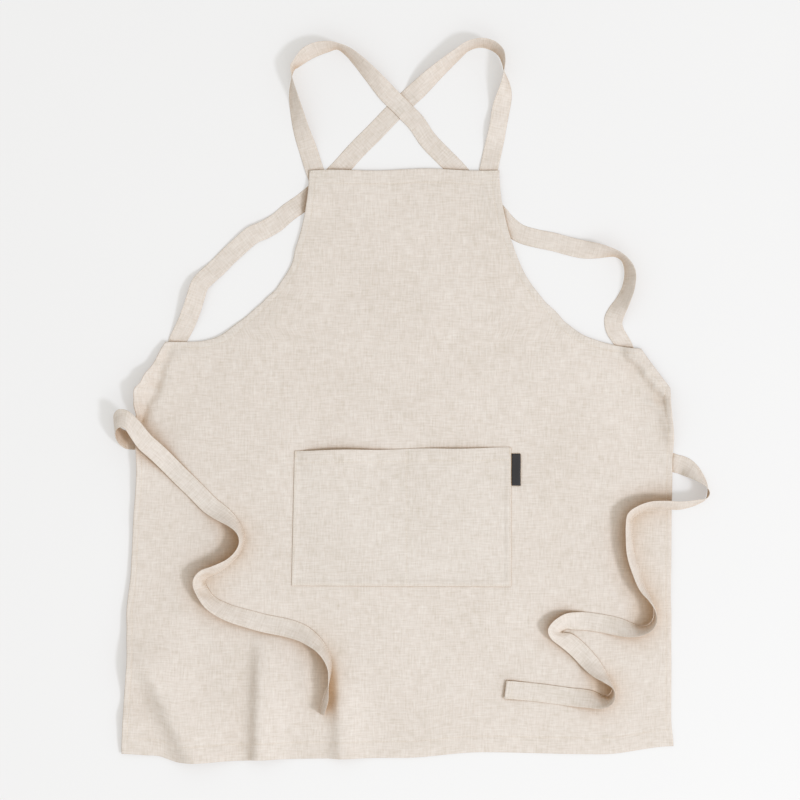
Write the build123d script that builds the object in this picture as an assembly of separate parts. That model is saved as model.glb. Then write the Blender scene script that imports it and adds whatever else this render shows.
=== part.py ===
from build123d import *
import math
import os

# A cross-back apron of heavy linen, laid out flat, face up.
# Millimetres. +X is the apron's own left-to-right as it lies, +Y runs from the hem up to the
# bib, +Z is up out of its face. The origin is the middle of the bottom hem's back face.

# ---------------------------------------------------------------- cloth and thread
cloth = 0.8            # one layer of linen
slip = 0.4             # clear space kept between layers that only lie on each other
thread = 0.3           # how far a row of stitches stands up
thread_wide = 0.9
label_thick = 0.6

# ---------------------------------------------------------------- panel
panel_length = 867.0   # bottom hem to bib top
bib_width = 279.0
armhole_depth = 253.0  # bib top down to the waist
waist_seam = 40.0      # short seam outside each armhole, where a strap is sewn
corner_slant = 49.0    # how far out each slanted corner under the waist runs
corner_drop = 68.0     # height of the slanted corner
skirt_width = 802.0    # at the foot of the slanted corners
skirt_flare = 6.0      # how much further out each side is at the bottom

bottom_hem = 26.0
side_hem = 10.0
bib_hem = 22.0
facing_width = 12.0    # bias strip turned to the back of each armhole
seam_inset = 2.0       # stitches run this far inside a hem's fold

# ---------------------------------------------------------------- pocket
pocket_width = 321.0
pocket_height = 202.0
pocket_drop = 411.0    # bib top to pocket mouth
pocket_hem = 20.0
pocket_edge = 8.0      # turned edge that lies flat on the panel
divider_off_centre = 6.5
divider_flat = 5.0
mouth_gape_left = 11.0
mouth_gape_right = 9.5
label_width = 13.0
label_length = 47.0
label_drop = 7.0       # pocket mouth to the top of the label
label_clear = 0.3      # between the label and the pocket's edge
bar_tack = 9.0

# ---------------------------------------------------------------- straps and ties
strap_width = 27.0
tie_width = 27.0
strap_tuck = 26.0      # how far each strap end reaches behind the panel
tie_inset = 16.0       # slanted edge in to the middle of a tie's root
tie_seat_drop = 34.0   # waist down to a tie's root
tie_end_hem = 10.0
lift_clear = 11.0      # the panel is up on the straps from this far below the pocket
lift_run = 90.0        # and comes down to the table over this length

# ---------------------------------------------------------------- derived
over_strap = cloth + slip                    # rise of a strap that lies over another
under_gap = 2 * over_strap                   # room under the panel for two straps, one on the other
seat = under_gap - cloth                     # rise of a strap end that is sewn to the panel's back
panel_bottom = -bottom_hem / 2
panel_top = panel_bottom + panel_length
waist = panel_top - armhole_depth
bib_half = bib_width / 2
skirt_half = skirt_width / 2
waist_half = skirt_half - corner_slant
armhole_outer = waist_half - waist_seam      # centre line to where the armhole curve ends
strap_seat = armhole_outer + waist_seam / 2  # centre line to the middle of a strap's waist end
tie_seat = waist_half + corner_slant * tie_seat_drop / corner_drop - tie_inset
pocket_mouth = panel_top - pocket_drop
pocket_floor = pocket_mouth - pocket_height
pocket_half = pocket_width / 2
lift_end = pocket_floor - lift_clear         # above this line the panel lies over the straps
lift_start = lift_end - lift_run             # below this line it lies on the table
reach = skirt_width                          # safely past every edge

FLOOR = "floor"
PANEL = "panel"


def back_height(y):
    """Height of the back of the hem layer above the table."""
    if y <= lift_start:
        return 0.0
    if y >= lift_end:
        return under_gap
    return under_gap * (y - lift_start) / (lift_end - lift_start)


def panel_face_height(y):
    return back_height(y) + 2 * cloth


# ---------------------------------------------------------------- flat layers of cloth
def layer_band(low, high):
    """The space between two heights above the hem's back, right across the apron."""
    side = Polyline(
        (-reach, low),
        (lift_start, low),
        (lift_end, low + under_gap),
        (2 * reach, low + under_gap),
        (2 * reach, high + under_gap),
        (lift_end, high + under_gap),
        (lift_start, high),
        (-reach, high),
        close=True,
    )
    return extrude(Plane.YZ.offset(-reach) * make_face(side), 2 * reach)


def layer(face, low, high):
    """Cut a flat shape out of the layer between two heights."""
    prism = extrude(Pos(0, 0, -cloth) * face, 12 * cloth + under_gap)
    return prism & layer_band(low, high)


def block(x_low, x_high, y_low, y_high):
    return Pos((x_low + x_high) / 2, (y_low + y_high) / 2) * Rectangle(x_high - x_low, y_high - y_low)


def armhole(grow):
    """The two quarter ellipses that are cut away, each grown by the same amount."""
    oval = Ellipse(armhole_outer - bib_half + grow, armhole_depth + grow)
    return Pos(armhole_outer, panel_top) * oval + Pos(-armhole_outer, panel_top) * oval


def panel_outline(inset):
    """The panel's outline, or a line that runs inside it all the way round."""
    skirt = make_face(Polyline(
        (-skirt_half - skirt_flare, panel_bottom),
        (skirt_half + skirt_flare, panel_bottom),
        (skirt_half, waist - corner_drop),
        (waist_half, waist),
        (-waist_half, waist),
        (-skirt_half, waist - corner_drop),
        close=True,
    ))
    if inset > 0:
        skirt = offset(skirt, -inset, kind=Kind.INTERSECTION)
    bib = block(-armhole_outer, armhole_outer, waist - corner_drop, panel_top - inset)
    return skirt + (bib - armhole(inset))


def row_of_stitches(face):
    return layer(face, 2 * cloth, 2 * cloth + thread)


outline = panel_outline(0)
bottom_band = block(-reach, reach, panel_bottom, panel_bottom + bottom_hem)
bib_band = block(-bib_half, bib_half, panel_top - bib_hem, panel_top)
armhole_zone = block(-armhole_outer, armhole_outer, waist - facing_width, panel_top - bib_hem)
facing_face = (outline & armhole(facing_width) & armhole_zone) - armhole(0)


def make_front_panel():
    """One layer of linen with its hems turned to the back. The armholes have facings instead."""
    hems = outline - panel_outline(side_hem) + (outline & bottom_band) + bib_band
    hems = hems - facing_face
    return layer(outline, cloth, 2 * cloth) + layer(hems, 0, cloth)


def one_side(face, side):
    """Keep the half of a flat shape that lies on one side of the centre line."""
    return face & block(min(0, side * reach), max(0, side * reach), -reach, 2 * reach)


def make_armhole_facing(side):
    return layer(one_side(facing_face, side), 0, cloth)


# ---------------------------------------------------------------- stitching on the panel
def stitch_ring(inset):
    return panel_outline(inset) - panel_outline(inset + thread_wide)


def make_bottom_hem_stitching():
    height = panel_bottom + bottom_hem - seam_inset
    across = block(-reach, reach, height - thread_wide, height)
    return row_of_stitches(across & panel_outline(side_hem))


def make_side_hem_stitching(side):
    """Up the side, round the slanted corner and along the short waist seam."""
    ring = one_side(stitch_ring(side_hem - seam_inset), side)
    upright = block(min(side * armhole_outer, side * reach), max(side * armhole_outer, side * reach),
                    panel_bottom + bottom_hem, waist)
    return row_of_stitches(ring & upright)


def make_armhole_stitching(side):
    inner = facing_width - seam_inset
    ring = armhole(inner) - armhole(inner - thread_wide)
    span = block(-armhole_outer, armhole_outer, waist - facing_width, panel_top - bib_hem)
    return row_of_stitches(one_side(ring & span & outline, side))


def make_bib_hem_stitching():
    height = panel_top - bib_hem + seam_inset
    across = bib_half - seam_inset
    return row_of_stitches(block(-across, across, height, height + thread_wide))


def stitched_box(x, y, wide, high):
    """A box of stitches with its two diagonals, as over the end of a strap."""
    frame = block(x - wide / 2, x + wide / 2, y - high / 2, y + high / 2)
    frame = frame - block(x - wide / 2 + thread_wide, x + wide / 2 - thread_wide,
                          y - high / 2 + thread_wide, y + high / 2 - thread_wide)
    tilt = math.degrees(math.atan2(high, wide))
    for angle in (tilt, -tilt):
        bar = Rectangle(math.hypot(wide, high) - 2 * thread_wide, thread_wide)
        frame = frame + Pos(x, y) * Rot(0, 0, angle) * bar
    return frame


strap_box_width = strap_width - 4 * seam_inset
strap_box_height = strap_tuck - 4 * seam_inset - side_hem / 2


def make_strap_front_stitching():
    x = bib_half - strap_width / 2
    y = panel_top - seam_inset - strap_box_height / 2
    boxes = stitched_box(-x, y, strap_box_width, strap_box_height)
    boxes = boxes + stitched_box(x, y, strap_box_width, strap_box_height)
    return row_of_stitches(boxes)


def make_strap_back_stitching():
    """Behind the waist seam the side stitching already crosses, so these are two short bars."""
    y = waist - strap_tuck + seam_inset
    bars = [block(side * strap_seat - strap_box_width / 2, side * strap_seat + strap_box_width / 2,
                  y, y + thread_wide) for side in (-1, 1)]
    return row_of_stitches(bars[0] + bars[1])


def make_tie_root_stitching():
    y = waist - tie_seat_drop - seam_inset
    x = tie_seat - tie_width / 2
    half_bar = tie_width / 4
    bars = [block(side * x - half_bar, side * x + half_bar, y - thread_wide, y) for side in (-1, 1)]
    return row_of_stitches(bars[0] + bars[1])


# ---------------------------------------------------------------- cloth that is not flat
def corner_face(a, b, c):
    return Face(Wire.make_polygon([Vector(*a), Vector(*b), Vector(*c)]))


def sheet_solid(upper, lower):
    """Close the space between two grids of points that match row by row."""
    rows = len(upper)
    columns = len(upper[0])
    faces = []
    for grid in (upper, lower):
        for i in range(rows - 1):
            for j in range(columns - 1):
                faces.append(corner_face(grid[i][j], grid[i][j + 1], grid[i + 1][j + 1]))
                faces.append(corner_face(grid[i][j], grid[i + 1][j + 1], grid[i + 1][j]))
    border = [(0, j) for j in range(columns)]
    border += [(i, columns - 1) for i in range(1, rows)]
    border += [(rows - 1, j) for j in range(columns - 2, -1, -1)]
    border += [(i, 0) for i in range(rows - 2, -1, -1)]
    for (i, j), (k, m) in zip(border, border[1:]):
        faces.append(corner_face(upper[i][j], upper[k][m], lower[k][m]))
        faces.append(corner_face(upper[i][j], lower[k][m], lower[i][j]))
    return Solid(Shell(faces))


# ---------------------------------------------------------------- pocket
divider = divider_off_centre
compartments = (
    (-pocket_half + pocket_edge, divider - divider_flat / 2, mouth_gape_left),
    (divider + divider_flat / 2, pocket_half - pocket_edge, mouth_gape_right),
)
mouth_stitch_low = pocket_mouth - pocket_hem + seam_inset
mouth_stitch_high = mouth_stitch_low + thread_wide
single_low = pocket_floor + 2 * pocket_edge          # one layer of cloth from here
single_high = mouth_stitch_low - pocket_edge / 2     # up to here


def pocket_rise(x, y):
    """How far the inside of the pocket stands off the panel."""
    along = (y - pocket_floor - pocket_edge) / (pocket_height - pocket_edge)
    for left, right, gape in compartments:
        if left < x < right and along > 0:
            arch = math.sin(math.pi * (x - left) / (right - left))
            return gape * arch * math.sin(math.pi / 2 * along)
    return 0.0


def pocket_grid():
    """Where the pocket's surface is worked out: across each compartment and up the pocket."""
    steps = 12
    across = [-pocket_half]
    for left, right, gape in compartments:
        across += [left + (right - left) * k / steps for k in range(steps + 1)]
    across.append(pocket_half)
    plain = 5
    up = [pocket_floor, pocket_floor + pocket_edge]
    up += [single_low + (single_high - single_low) * k / plain for k in range(plain + 1)]
    up += [mouth_stitch_low, mouth_stitch_high, (mouth_stitch_high + pocket_mouth) / 2, pocket_mouth]
    return across, up


def pocket_layers(x, y):
    """Two layers where the edge or the mouth hem is turned in, one elsewhere."""
    turned = abs(x) > pocket_half - pocket_edge - slip or y < pocket_floor + pocket_edge + slip
    return 2 * cloth if turned or y > mouth_stitch_low - slip else cloth


def pocket_surface(x, y, extra):
    """Height of the pocket's outer face, plus something that lies on it."""
    return panel_face_height(y) + pocket_rise(x, y) + pocket_layers(x, y) + extra


def make_pocket():
    across, up = pocket_grid()
    outer = [[(x, y, pocket_surface(x, y, 0)) for x in across] for y in up]
    inner = [[(x, y, panel_face_height(y) + pocket_rise(x, y)) for x in across] for y in up]
    return sheet_solid(outer, inner)


def make_pocket_mouth_stitching():
    across = [x for x in pocket_grid()[0] if abs(x) < pocket_half]
    up = (mouth_stitch_low, mouth_stitch_high)
    outer = [[(x, y, pocket_surface(x, y, thread)) for x in across] for y in up]
    inner = [[(x, y, pocket_surface(x, y, 0)) for x in across] for y in up]
    return sheet_solid(outer, inner)


def on_pocket_edge(face):
    """A row of stitches on the pocket's turned edge."""
    low = panel_face_height(pocket_floor) + 2 * cloth
    return extrude(Pos(0, 0, low) * face, thread)


pocket_frame_x = pocket_half - seam_inset


def make_pocket_edge_stitching():
    """Down both sides and along the bottom."""
    outer = block(-pocket_frame_x, pocket_frame_x, pocket_floor + seam_inset, mouth_stitch_low - slip)
    inner = block(-pocket_frame_x + thread_wide, pocket_frame_x - thread_wide,
                  pocket_floor + seam_inset + thread_wide, pocket_mouth)
    return on_pocket_edge(outer - inner)


def make_pocket_divider_stitching():
    """Up the middle, where the pocket is sewn flat to the panel."""
    low = panel_face_height(pocket_floor) + cloth
    seam = block(divider - thread_wide / 2, divider + thread_wide / 2, single_low, single_high)
    return extrude(Pos(0, 0, low) * seam, thread)


def make_pocket_bar_tacks():
    """Short dense bars at the two mouth corners."""
    x = pocket_frame_x - thread_wide / 2
    y_low = mouth_stitch_high + slip
    bars = [block(side * x - thread_wide, side * x + thread_wide, y_low, y_low + bar_tack)
            for side in (-1, 1)]
    return on_pocket_edge(bars[0] + bars[1])


def make_label():
    """A flag of woven tape beside the pocket's right edge, held along its seam."""
    left = pocket_half + label_clear
    top = pocket_mouth - label_drop
    tape = block(left, left + label_width, top - label_length, top)
    return extrude(Pos(0, 0, panel_face_height(top) + slip / 2) * tape, label_thick)


# ---------------------------------------------------------------- straps and ties
# A route is a row of stations (x, y, lies on, rise, azimuth, tilt). The centre of the strap
# passes over x and y; rise is the gap under its lower edge. Azimuth and tilt turn its marked
# edge: azimuth is the compass direction that the edge faces, tilt how far it is stood up
# (0 flat, 90 on edge, 180 flat again with the other side up).
shoulder_left_route = [
    (-121, 828, FLOOR, seat, 12, 0),
    (-129, 854, FLOOR, seat, 12, 0),
    (-138, 882, FLOOR, 0.4, 13, 6),
    (-147, 910, FLOOR, 0.4, 14, 26),
    (-154, 938, FLOOR, 0.4, 10, 43),
    (-160, 964, FLOOR, 0.4, 4, 60),
    (-162, 987, FLOOR, 0.4, -4, 84),
    (-161, 1002, FLOOR, 0.4, -20, 100),
    (-156, 1008, FLOOR, 1, -37, 109),
    (-141, 1022, FLOOR, 3, -57, 128),
    (-125, 1030, FLOOR, 3, -67, 128),
    (-108, 1034, FLOOR, 2, -80, 116),
    (-94, 1034, FLOOR, 1, -105, 102),
    (-79, 1026, FLOOR, 0.4, -130, 112),
    (-63, 1012, FLOOR, 0.4, -137, 126),
    (-44, 992, FLOOR, 0.8, -137, 142),
    (-25, 970, FLOOR, over_strap, -137, 164),
    (-12, 957, FLOOR, over_strap, -137, 176),
    (-3, 949, FLOOR, over_strap, -137, 180),
    (8, 937, FLOOR, over_strap, -137, 180),
    (21, 923, FLOOR, over_strap, -137, 180),
    (38, 899, FLOOR, 0.6, -137, 180),
    (60, 876, FLOOR, 0.2, -137, 180),
    (80, 856, FLOOR, 0, -137, 180),
    (100, 834, FLOOR, 0, -137, 180),
    (122, 811, FLOOR, 0, -136, 180),
    (142, 790, FLOOR, 0, -132, 180),
    (158, 772, FLOOR, 0, -122, 180),
    (175, 760, FLOOR, 0, -109, 180),
    (197, 754, FLOOR, 0.2, -103, 180),
    (221, 749, FLOOR, 0.4, -101, 178),
    (246, 742, FLOOR, 0.4, -102, 174),
    (268, 737, FLOOR, 0.4, -103, 163),
    (288, 734, FLOOR, 0.4, -101, 140),
    (303, 732, FLOOR, 0.4, -101, 120),
    (316, 729, FLOOR, 0.4, -115, 106),
    (326, 722, FLOOR, 0.4, -136, 104),
    (333, 710, FLOOR, 0.4, -164, 116),
    (335, 697, FLOOR, 0.4, -180, 124),
    (333, 679, FLOOR, 0.4, -190, 127),
    (328, 661, FLOOR, 0.4, -198, 122),
    (322, 645, FLOOR, 0.4, -198, 110),
    (320, 633, FLOOR, 0.4, -188, 104),
    (322, 623, FLOOR, 0.4, -178, 120),
    (326, 614, FLOOR, 0.4, -174, 148),
    (330, 606, FLOOR, 0.8, -177, 178),
    (332, 599, FLOOR, 1.2, -180, 180),
    (332, 588, FLOOR, seat, -180, 180),
    (332, 575, FLOOR, seat, -180, 180),
]
shoulder_right_route = [
    (123, 828, FLOOR, seat, 175, 0),
    (128, 856, FLOOR, seat, 173, 0),
    (134, 884, FLOOR, 0.4, 169, 2),
    (140, 914, FLOOR, 0.4, 169, 18),
    (146, 945, FLOOR, 0.4, 170, 12),
    (151, 967, FLOOR, 0.4, 174, 36),
    (152, 984, FLOOR, 0.4, 180, 64),
    (150, 1000, FLOOR, 0.4, 184, 88),
    (149, 1012, FLOOR, 0.6, 188, 98),
    (144, 1026, FLOOR, 1, 214, 108),
    (131, 1036, FLOOR, 2, 250, 112),
    (114, 1039, FLOOR, 3, 273, 112),
    (96, 1034, FLOOR, 2, 296, 113),
    (80, 1022, FLOOR, 1, 308, 121),
    (65, 1010, FLOOR, 0.8, 310, 130),
    (47, 994, FLOOR, 0.4, 313, 143),
    (29, 977, FLOOR, 0.2, 313, 161),
    (13, 963, FLOOR, 0, 314, 179),
    (-3, 948, FLOOR, 0, 315, 180),
    (-21, 930, FLOOR, 0, 315, 180),
    (-40, 911, FLOOR, 0, 315, 180),
    (-59, 892, FLOOR, 0, 314, 180),
    (-77, 873, FLOOR, 0, 314, 180),
    (-94, 854, FLOOR, 0, 313, 180),
    (-112, 836, FLOOR, 0, 312, 180),
    (-130, 820, FLOOR, 0, 311, 180),
    (-147, 806, FLOOR, 0, 308, 180),
    (-167, 792, FLOOR, 0, 304, 180),
    (-185, 777, FLOOR, 0.4, 302, 178),
    (-206, 765, FLOOR, 1.5, 298, 176),
    (-221, 758, FLOOR, 1.5, 304, 176),
    (-243, 739, FLOOR, 1.5, 311, 178),
    (-257, 726, FLOOR, 1.5, 314, 180),
    (-272, 710, FLOOR, 1.5, 315, 180),
    (-286, 697, FLOOR, 3, 314, 178),
    (-297, 685, FLOOR, 5, 326, 172),
    (-303, 668, FLOOR, 6, 340, 166),
    (-309, 649, FLOOR, 5, 340, 168),
    (-317, 630, FLOOR, 3, 340, 172),
    (-326, 613, FLOOR, 1, 345, 176),
    (-331, 602, FLOOR, 1.2, 355, 180),
    (-332, 588, FLOOR, seat, 360, 180),
    (-332, 575, FLOOR, seat, 360, 180),
]
tie_left_route = [
    (-366, 567, FLOOR, seat, 0, 0),
    (-367, 548, FLOOR, 1.2, 0, 0),
    (-369, 524, FLOOR, 0.2, 0, 0),
    (-370, 500, FLOOR, 0, -4, 0),
    (-372, 477, FLOOR, 0, -24, 0),
    (-380, 462, FLOOR, 0, -58, 0),
    (-392, 456, FLOOR, 0, -80, 0),
    (-403, 456, FLOOR, 0.6, -88, 0),
    (-411, 459, FLOOR, 5, -88, 0),
    (-419, 466, FLOOR, 14, -86, 0),
    (-420, 476, FLOOR, 25, -85, 0),
    (-413, 483, FLOOR, 34, -90, 2),
    (-402, 482, FLOOR, 38, -100, 3),
    (-390, 470, FLOOR, 34, -118, 3),
    (-376, 454, FLOOR, 26, -130, 3),
    (-360, 438, FLOOR, 17, -134, 3),
    (-342, 420, FLOOR, 9, -135, 3),
    (-322, 400, PANEL, 1.5, -135, 3),
    (-304, 382, PANEL, slip, -135, 4),
    (-285, 363, PANEL, slip, -136, 8),
    (-272, 353, PANEL, slip, -137, 18),
    (-258, 343, PANEL, slip, -142, 38),
    (-245, 332, PANEL, slip, -152, 60),
    (-237, 320, PANEL, slip, -168, 74),
    (-235, 306, PANEL, slip, -186, 77),
    (-241, 292, PANEL, slip, -206, 76),
    (-251, 281, PANEL, slip, -222, 72),
    (-263, 272, PANEL, slip, -236, 64),
    (-276, 265, PANEL, slip, -240, 58),
    (-290, 259, PANEL, slip, -226, 52),
    (-297, 250, PANEL, slip, -190, 52),
    (-294, 236, PANEL, slip, -158, 50),
    (-282, 219, PANEL, slip, -138, 44),
    (-266, 208, PANEL, slip, -124, 36),
    (-249, 200, PANEL, slip, -116, 28),
    (-227, 193, PANEL, slip, -110, 20),
    (-200, 186, PANEL, slip, -106, 14),
    (-171, 180, PANEL, slip, -106, 14),
    (-145, 172, PANEL, slip, -115, 28),
    (-124, 157, PANEL, slip, -130, 50),
    (-111, 139, PANEL, slip, -150, 66),
    (-106, 120, PANEL, slip, -170, 80),
    (-108, 96, PANEL, slip, -180, 92),
    (-112, 75, PANEL, slip, -178, 108),
    (-118, 54, PANEL, slip, -178, 108),
]
tie_right_route = [
    (366, 567, FLOOR, seat, 180, 0),
    (366, 548, FLOOR, 1.2, 180, 0),
    (366, 524, FLOOR, 0.2, 180, 0),
    (366, 495, FLOOR, 0, 180, 0),
    (368, 465, FLOOR, 0, 192, 0),
    (374, 444, FLOOR, 0, 216, 0),
    (385, 430, FLOOR, 0, 238, 0),
    (400, 423, FLOOR, 0.1, 248, 0),
    (415, 418, FLOOR, 0.2, 248, 4),
    (428, 410, FLOOR, 0.4, 238, 32),
    (438, 401, FLOOR, 0.4, 226, 55),
    (447, 390, FLOOR, 0.4, 206, 76),
    (450, 379, FLOOR, 0.6, 176, 88),
    (446, 370, FLOOR, 1, 138, 82),
    (436, 366, FLOOR, 2, 112, 72),
    (420, 362, FLOOR, 4, 98, 64),
    (405, 360, PANEL, 0.8, 91, 60),
    (384, 361, PANEL, 0.6, 90, 60),
    (364, 360, PANEL, slip, 94, 60),
    (347, 354, PANEL, slip, 110, 60),
    (335, 345, PANEL, slip, 134, 60),
    (333, 332, PANEL, slip, 164, 61),
    (333, 314, PANEL, slip, 180, 61),
    (335, 290, PANEL, slip, 190, 59),
    (342, 267, PANEL, slip, 202, 58),
    (351, 241, PANEL, slip, 208, 66),
    (362, 224, PANEL, slip, 210, 78),
    (370, 209, PANEL, slip, 200, 86),
    (371, 193, PANEL, slip, 178, 94),
    (364, 182, PANEL, slip, 142, 102),
    (351, 177, PANEL, slip, 106, 116),
    (336, 178, PANEL, slip, 92, 140),
    (316, 182, PANEL, slip, 83, 166),
    (292, 186, PANEL, slip, 82, 180),
    (270, 189, PANEL, slip, 85, 182),
    (250, 190, PANEL, 0.6, 94, 194),
    (239, 189, PANEL, 1, 112, 210),
    (229, 183, PANEL, 1.6, 138, 216),
    (224, 176, PANEL, 1.8, 166, 216),
    (229, 169, PANEL, 1.8, 198, 210),
    (241, 162, PANEL, 1.6, 218, 198),
    (258, 148, PANEL, 0.6, 224, 190),
    (274, 132, PANEL, slip, 224, 192),
    (289, 116, PANEL, slip, 217, 220),
    (300, 105, PANEL, slip, 208, 246),
    (309, 94, PANEL, slip, 188, 264),
    (310, 84, PANEL, slip, 160, 277),
    (305, 76, PANEL, slip, 126, 291),
    (293, 73, PANEL, slip, 100, 314),
    (278, 75, PANEL, slip, 86, 338),
    (251, 77, PANEL, slip, 81, 356),
    (222, 81, PANEL, slip, 82, 360),
    (189, 85, PANEL, 0.6, 82, 360),
    (165, 88, PANEL, 2, 82, 360),
    (152, 89, PANEL, 3.5, 82, 360),
]


def carried(route, start_shift, end_shift, first, last):
    """The route as laid, moved by one shift up to one station and by another from a later one."""
    moved = []
    for i, (x, y, lies_on, rise, azimuth, tilt) in enumerate(route):
        share = max(0, min(1, (i - first) / (last - first)))
        x_moved = x + start_shift[0] * (1 - share) + end_shift[0] * share
        y_moved = y + start_shift[1] * (1 - share) + end_shift[1] * share
        moved.append((x_moved, y_moved, lies_on, rise, azimuth, tilt))
    return moved


def centre_points(route, width):
    """The middle of the strap at each station, raised until its lower edge has its rise."""
    points = []
    for x, y, lies_on, rise, azimuth, tilt in route:
        rest = panel_face_height(y) if lies_on == PANEL else 0.0
        stood = width / 2 * abs(math.sin(math.radians(tilt)))
        points.append(Vector(x, y, rest + rise + stood + cloth / 2))
    return points


def strap_sections(route, width):
    """Centre, edge direction and face direction of the strap at each station."""
    points = centre_points(route, width)
    last = len(points) - 1
    sections = []
    for i, (x, y, lies_on, rise, azimuth, tilt) in enumerate(route):
        along = points[min(i + 1, last)] - points[max(i - 1, 0)]
        turn = math.radians(azimuth)
        stand = math.radians(tilt)
        edge = Vector(math.cos(stand) * math.cos(turn), math.cos(stand) * math.sin(turn), math.sin(stand))
        face = along.normalized().cross(edge).normalized()
        sections.append((points[i], edge, face))
    return sections


def make_strap(route, width):
    upper = []
    lower = []
    for centre, edge, face in strap_sections(route, width):
        half = edge * (width / 2)
        out = face * (cloth / 2)
        upper.append([tuple(centre + half + out), tuple(centre - half + out)])
        lower.append([tuple(centre + half - out), tuple(centre - half - out)])
    return sheet_solid(upper, lower)


def make_end_row(route, width):
    """A row of stitches straight across the free end of a tie, on its upper face."""
    sections = strap_sections(route, width)
    tip, edge, face = sections[-1]
    inward = (sections[-2][0] - tip).normalized()
    half = edge * (width / 2 - seam_inset)
    up = face if face.Z > 0 else face * -1
    rows = []
    for height in (cloth / 2 + thread, cloth / 2):
        near = tip + inward * tie_end_hem + up * height
        far = near + inward * thread_wide
        rows.append([[tuple(near + half), tuple(near - half)], [tuple(far + half), tuple(far - half)]])
    return sheet_solid(rows[0], rows[1])


# The routes were laid on the apron at these seats; a changed size carries them along.
laid_bib_seat = (126.0, 854.0)
laid_waist_seat = (332.0, 601.0)
laid_tie_seat = (366.0, 567.0)
laid_skirt_half = 401.0
strap_out_station = 28  # where a shoulder strap comes out from behind the bib
tie_out_station = 5     # where a tie comes out past the skirt's edge
bib_shift = (bib_half - strap_width / 2 - laid_bib_seat[0], panel_top - laid_bib_seat[1])
waist_shift = (strap_seat - laid_waist_seat[0], waist - laid_waist_seat[1])
root_shift = (tie_seat - laid_tie_seat[0], waist - tie_seat_drop - laid_tie_seat[1])
tie_shift = (skirt_half - laid_skirt_half, root_shift[1])


def mirrored(shift):
    return (-shift[0], shift[1])


def seam_station(route):
    """The first station of a strap that is sewn down at the waist."""
    return len(route) - 2


strap_routes = {
    "shoulder_strap_left": carried(shoulder_left_route, mirrored(bib_shift), waist_shift,
                                   strap_out_station, seam_station(shoulder_left_route)),
    "shoulder_strap_right": carried(shoulder_right_route, bib_shift, mirrored(waist_shift),
                                    strap_out_station, seam_station(shoulder_right_route)),
}
tie_routes = {
    "waist_tie_left": carried(tie_left_route, mirrored(root_shift), mirrored(tie_shift),
                              0, tie_out_station),
    "waist_tie_right": carried(tie_right_route, root_shift, tie_shift, 0, tie_out_station),
}

# ---------------------------------------------------------------- every sub-part
parts = {
    "front_panel": make_front_panel(),
    "armhole_facing_left": make_armhole_facing(-1),
    "armhole_facing_right": make_armhole_facing(1),
    "pocket": make_pocket(),
    "label": make_label(),
    "bottom_hem_stitching": make_bottom_hem_stitching(),
    "side_hem_stitching_left": make_side_hem_stitching(-1),
    "side_hem_stitching_right": make_side_hem_stitching(1),
    "armhole_stitching_left": make_armhole_stitching(-1),
    "armhole_stitching_right": make_armhole_stitching(1),
    "bib_hem_stitching": make_bib_hem_stitching(),
    "pocket_edge_stitching": make_pocket_edge_stitching(),
    "pocket_mouth_stitching": make_pocket_mouth_stitching(),
    "pocket_divider_stitching": make_pocket_divider_stitching(),
    "pocket_bar_tacks": make_pocket_bar_tacks(),
    "strap_front_stitching": make_strap_front_stitching(),
    "strap_back_stitching": make_strap_back_stitching(),
    "tie_root_stitching": make_tie_root_stitching(),
}
for name, route in strap_routes.items():
    parts[name] = make_strap(route, strap_width)
for name, route in tie_routes.items():
    parts[name] = make_strap(route, tie_width)
    parts[name.replace("waist_tie", "tie_end_stitching")] = make_end_row(route, tie_width)

os.makedirs("parts", exist_ok=True)
for name, shape in parts.items():
    export_step(shape, "parts/" + name + ".step")
    print(name, round(shape.volume), "cubic mm")

for name, route in {**strap_routes, **tie_routes}.items():
    points = centre_points(route, strap_width if name in strap_routes else tie_width)
    length = sum((b - a).length for a, b in zip(points, points[1:]))
    print(name, "is", round(length), "mm long")
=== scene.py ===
import math

import bpy
import numpy as np
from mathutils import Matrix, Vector
from mathutils.geometry import delaunay_2d_cdt


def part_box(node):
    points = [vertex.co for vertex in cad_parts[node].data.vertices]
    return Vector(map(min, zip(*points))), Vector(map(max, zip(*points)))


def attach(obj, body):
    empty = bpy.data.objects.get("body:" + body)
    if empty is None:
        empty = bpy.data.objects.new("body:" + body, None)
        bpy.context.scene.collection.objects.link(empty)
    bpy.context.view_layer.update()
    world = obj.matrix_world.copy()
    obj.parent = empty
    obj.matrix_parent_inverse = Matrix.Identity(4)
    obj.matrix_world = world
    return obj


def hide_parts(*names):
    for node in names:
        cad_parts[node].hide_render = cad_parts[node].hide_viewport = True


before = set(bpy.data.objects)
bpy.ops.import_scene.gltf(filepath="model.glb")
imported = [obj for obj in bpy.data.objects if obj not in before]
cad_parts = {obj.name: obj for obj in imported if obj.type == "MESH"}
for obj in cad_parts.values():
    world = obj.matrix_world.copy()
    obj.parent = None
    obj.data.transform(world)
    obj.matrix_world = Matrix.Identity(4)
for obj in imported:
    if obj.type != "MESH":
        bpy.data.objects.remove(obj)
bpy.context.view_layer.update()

# A cross-back apron of heavy linen, laid out on a pale table. Sizes are millimetres in the
# frame's own axes; a mesh is turned to metres when it is made. The flat pattern's own
# coordinates are called u and v, and x and y are where a point of it comes to lie.
MM = 0.001


def box_mm(node):
    low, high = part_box(node)
    return [c / MM for c in low], [c / MM for c in high]


panel_low, panel_high = box_mm("front_panel")
pocket_low, pocket_high = box_mm("pocket")
label_low, label_high = box_mm("label")
facing_low, facing_high = box_mm("armhole_facing_right")

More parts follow.
